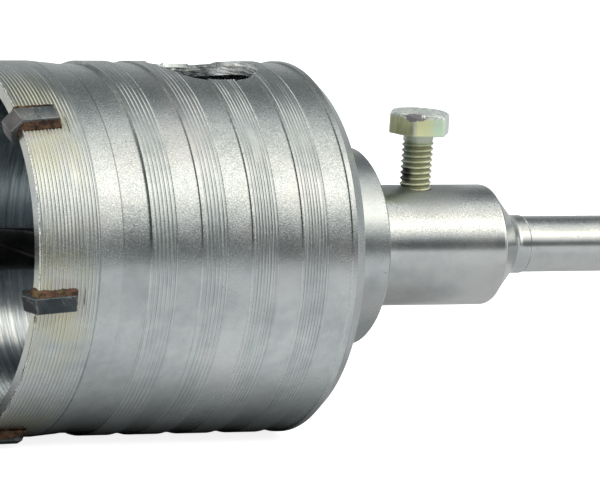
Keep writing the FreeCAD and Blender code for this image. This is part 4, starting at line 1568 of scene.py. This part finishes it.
@dataclass
class Studio:
    """White table with a light tent: what the camera sees behind the bit and what the steel mirrors.

    The tent is a half pipe along the bit, grey by height, that only reflections see.
    """

    tent_radius: float = 1.6
    tent_half_length: float = 7.0
    floor_half: float = 4.0
    room_strength: float = 0.62
    lamp_energy: float = 26.0
    lamp_sides: tuple[float, float] = (1.6, 1.1)
    lamp_place: tuple[float, float, float] = (0.25, -1.15, 1.25)
    paper: TablePaper = TablePaper()
    elevations: tuple[float, ...] = (
        -3, 3, 12, 19, 26, 34, 41, 50, 58, 66, 75, 84, 93, 103, 114, 127, 143, 160, 183)
    ahead: tuple[float, ...] = (
        0.36, 0.17, 0.10, 0.27, 0.82, 1.22, 1.85, 2.05, 1.78, 1.32, 1.2, 1.05, 0.85, 0.44, 0.28,
        0.20, 0.32, 0.5, 0.6)
    beside: tuple[float, ...] = (
        0.45, 0.35, 0.5, 0.95, 1.6, 2.1, 2.4, 2.4, 2.3, 2.1, 1.7, 1.5, 1.3, 0.9, 0.7,
        0.5, 0.5, 0.5, 0.6)
    mouth_side: tuple[float, ...] = (
        0.30, 0.20, 0.18, 0.18, 0.18, 0.2, 0.35, 0.5, 0.5, 0.5, 0.6, 0.9, 1.2, 1.5, 1.4,
        0.9, 0.6, 0.5, 0.5)
    shank_side: tuple[float, ...] = (
        0.30, 0.20, 0.20, 0.25, 0.3, 0.4, 0.5, 0.5, 0.5, 0.5, 0.4, 0.35, 0.3, 0.3, 0.3,
        0.3, 0.4, 0.5, 0.5)
    mouth_end: tuple[float, ...] = (
        0.6, 0.6, 0.8, 1.0, 1.2, 1.3, 1.3, 1.2, 1.1, 1.0, 1.0, 1.0, 0.9, 0.8, 0.8,
        0.7, 0.6, 0.6, 0.6)
    zones: tuple[float, ...] = (-4.0, -2.0, -1.7, -0.35, -0.05, 0.72, 0.95, 1.5, 1.9, 4.0)

    def tent_grid(self) -> tuple[np.ndarray, np.ndarray]:
        """Points of the tent and their greys.

        The point at elevation e lies at (along, -radius cos e, radius sin e). Its grey is read
        from the tables of greys by elevation, one for each zone along the tent.

        Returns:
            Points, shaped (elevations, places along, 3), and greys, shaped (elevations, places).
        """
        elevation = np.linspace(self.elevations[0], self.elevations[-1], 187)
        along = np.linspace(-self.tent_half_length, self.tent_half_length, 120)
        tables = (self.mouth_end, self.mouth_end, self.mouth_side, self.mouth_side,
                  self.ahead, self.ahead, self.beside, self.beside, self.shank_side,
                  self.shank_side)
        by_zone = np.array([np.interp(elevation, self.elevations, table) for table in tables])
        share = np.interp(along / self.tent_radius, self.zones, np.arange(len(self.zones)))
        low = np.minimum(share.astype(int), len(self.zones) - 2)
        part = (share - low)[:, None]
        grey = (by_zone[low] * (1 - part) + by_zone[low + 1] * part).T
        angle = np.radians(elevation)[:, None]
        shape = grey.shape
        points = np.stack([np.broadcast_to(along, shape),
                           np.broadcast_to(-self.tent_radius * np.cos(angle), shape),
                           np.broadcast_to(self.tent_radius * np.sin(angle), shape)], axis=-1)
        return points, grey

    def build_tent(self) -> bpy.types.Object:
        """The tent's sheet, bright or grey by its own attribute, warmer where it is bright."""
        points, grey = self.tent_grid()
        count, columns = grey.shape
        first = np.arange(count - 1)[:, None] * columns + np.arange(columns - 1)[None, :]
        quads = np.stack([first, first + 1, first + columns + 1, first + columns], axis=-1)
        mesh = bpy.data.meshes.new("tent")
        mesh.from_pydata(points.reshape(-1, 3).tolist(), [], quads.reshape(-1, 4).tolist())
        mark = mesh.attributes.new("grey", "FLOAT", "POINT")
        mark.data.foreach_set("value", grey.ravel().astype(np.float32))
        tent = new_object("tent", mesh)
        tree = FinishTree("tent_cloth")
        level = tree.attribute("grey")
        tint = tree.mix(level.rise(0.5, 1.5), (0.97, 1.0, 1.0), (1.07, 1.02, 0.93))
        light = tree.node("ShaderNodeVectorMath", {"operation": "SCALE"}, {0: tint, 3: level})
        tree.close(tree.node("ShaderNodeEmission", inputs={"Color": light}))
        mesh.materials.append(tree.owner)
        tent.visible_camera = False
        tent.visible_diffuse = False
        tent.visible_shadow = False
        return tent

    def build_floor(self) -> bpy.types.Object:
        """The table: white to the camera, grey paper elsewhere, painted shadow where mirrored; it
        keeps shadows.
        """
        half = self.floor_half
        corners = [(-half, -half), (half, -half), (half, half), (-half, half)]
        mesh = bpy.data.meshes.new("table")
        mesh.from_pydata([(x, y, FLOOR_HEIGHT) for x, y in corners], [], [(0, 1, 2, 3)])
        table = new_object("table", mesh)
        tree = FinishTree("table_paper")
        seen = tree.ray("Is Camera Ray") + tree.ray("Is Transmission Ray")
        mirrored = tree.ray("Is Glossy Ray")
        shade, under = self.paper.shade(tree)
        shade = tree.mix(mirrored, neutral(self.paper.plain), shade)
        paper = tree.node("ShaderNodeBsdfDiffuse", inputs={"Color": shade})
        glow = seen * self.paper.seen_glow + mirrored * (1.0 - under) * self.paper.mirrored_glow
        glow = tree.mix(glow, neutral(0.0), WHITE)
        white = tree.node("ShaderNodeEmission", inputs={"Color": glow})
        tree.close(tree.node("ShaderNodeAddShader", inputs={0: paper, 1: white}))
        mesh.materials.append(tree.owner)
        return table

    def build_world(self) -> None:
        """White room to the camera and to reflections that miss the tent, softer for the light."""
        tree = FinishTree("room", "worlds")
        bpy.context.scene.world = tree.owner
        mirrored = tree.math("MAXIMUM", tree.ray("Is Glossy Ray"), tree.ray("Is Transmission Ray"))
        seen = tree.math("MAXIMUM", tree.ray("Is Camera Ray"), mirrored)
        soft = {"Color": WHITE, "Strength": self.room_strength}
        soft = tree.node("ShaderNodeBackground", inputs=soft)
        white = tree.node("ShaderNodeBackground", inputs={"Color": WHITE})
        tree.close(tree.node("ShaderNodeMixShader", inputs={0: seen, 1: soft, 2: white}))

    def build_lamp(self) -> bpy.types.Object:
        """Large soft lamp above the near side, for shadows and matt surfaces only."""
        lamp = bpy.data.lights.new("softbox", "AREA")
        lamp.shape = "RECTANGLE"
        lamp.size, lamp.size_y = self.lamp_sides
        lamp.energy = self.lamp_energy
        box = bpy.data.objects.new("softbox", lamp)
        bpy.context.scene.collection.objects.link(box)
        place = Vector(self.lamp_place)
        aim = (-place).to_track_quat("-Z", "Y").to_matrix().to_4x4()
        box.matrix_world = Matrix.Translation(place) @ aim
        box.visible_glossy = False
        box.visible_camera = False
        return box

    def build(self) -> None:
        """The table, the tent, the room and the lamp."""
        tent, table = self.build_tent(), self.build_floor()
        self.build_world()
        self.build_lamp()


@dataclass(frozen=True)
class Viewpoint:
    """Camera as it stood: its aim on the axis, its direction, its roll and its lens."""

    aim_along: float = 64.05
    aim_height: float = 0.44
    yaw: float = 26.10
    fall: float = 9.0
    roll: float = 3.85
    distance: float = 1208.3
    lens: float = 412.09

    def build(self) -> bpy.types.Object:
        """The camera."""
        yaw, fall, roll = (math.radians(a) for a in (self.yaw, self.fall, self.roll))
        ahead = Vector((math.cos(fall) * math.sin(yaw), math.cos(fall) * math.cos(yaw),
                        -math.sin(fall)))
        level = Vector((math.cos(yaw), -math.sin(yaw), 0.0))
        upright = level.cross(ahead)
        right = level * math.cos(roll) + upright * math.sin(roll)
        up = upright * math.cos(roll) - level * math.sin(roll)
        aim = Vector((self.aim_along + RIM_PLACE, 0.0, self.aim_height))
        data = bpy.data.cameras.new("camera")
        data.lens = self.lens
        data.sensor_width = 36.0
        data.clip_start = 0.05
        data.clip_end = 20.0
        camera = bpy.data.objects.new("camera", data)
        bpy.context.scene.collection.objects.link(camera)
        camera.matrix_world = (Matrix.Translation((aim - ahead * self.distance) * MM)
                               @ Matrix((right, up, -ahead)).transposed().to_4x4())
        bpy.context.scene.camera = camera
        return camera


BRAZE = BrazeMetal("braze")


def main() -> None:
    """Build every piece in order, then the studio and the camera."""
    logging.basicConfig(level=logging.INFO, format="%(name)s: %(message)s")
    bpy.context.scene.view_settings.view_transform = "Standard"
    Barrel().build()
    Arbor().build()
    ClampBolt().build()
    PilotDrill().build()
    for index in range(TIP_COUNT):
        CuttingTip(index).build()
        BrazeBead(index).build()
    Studio().build()
    Viewpoint().build()


if __name__ == "__main__":
    main()
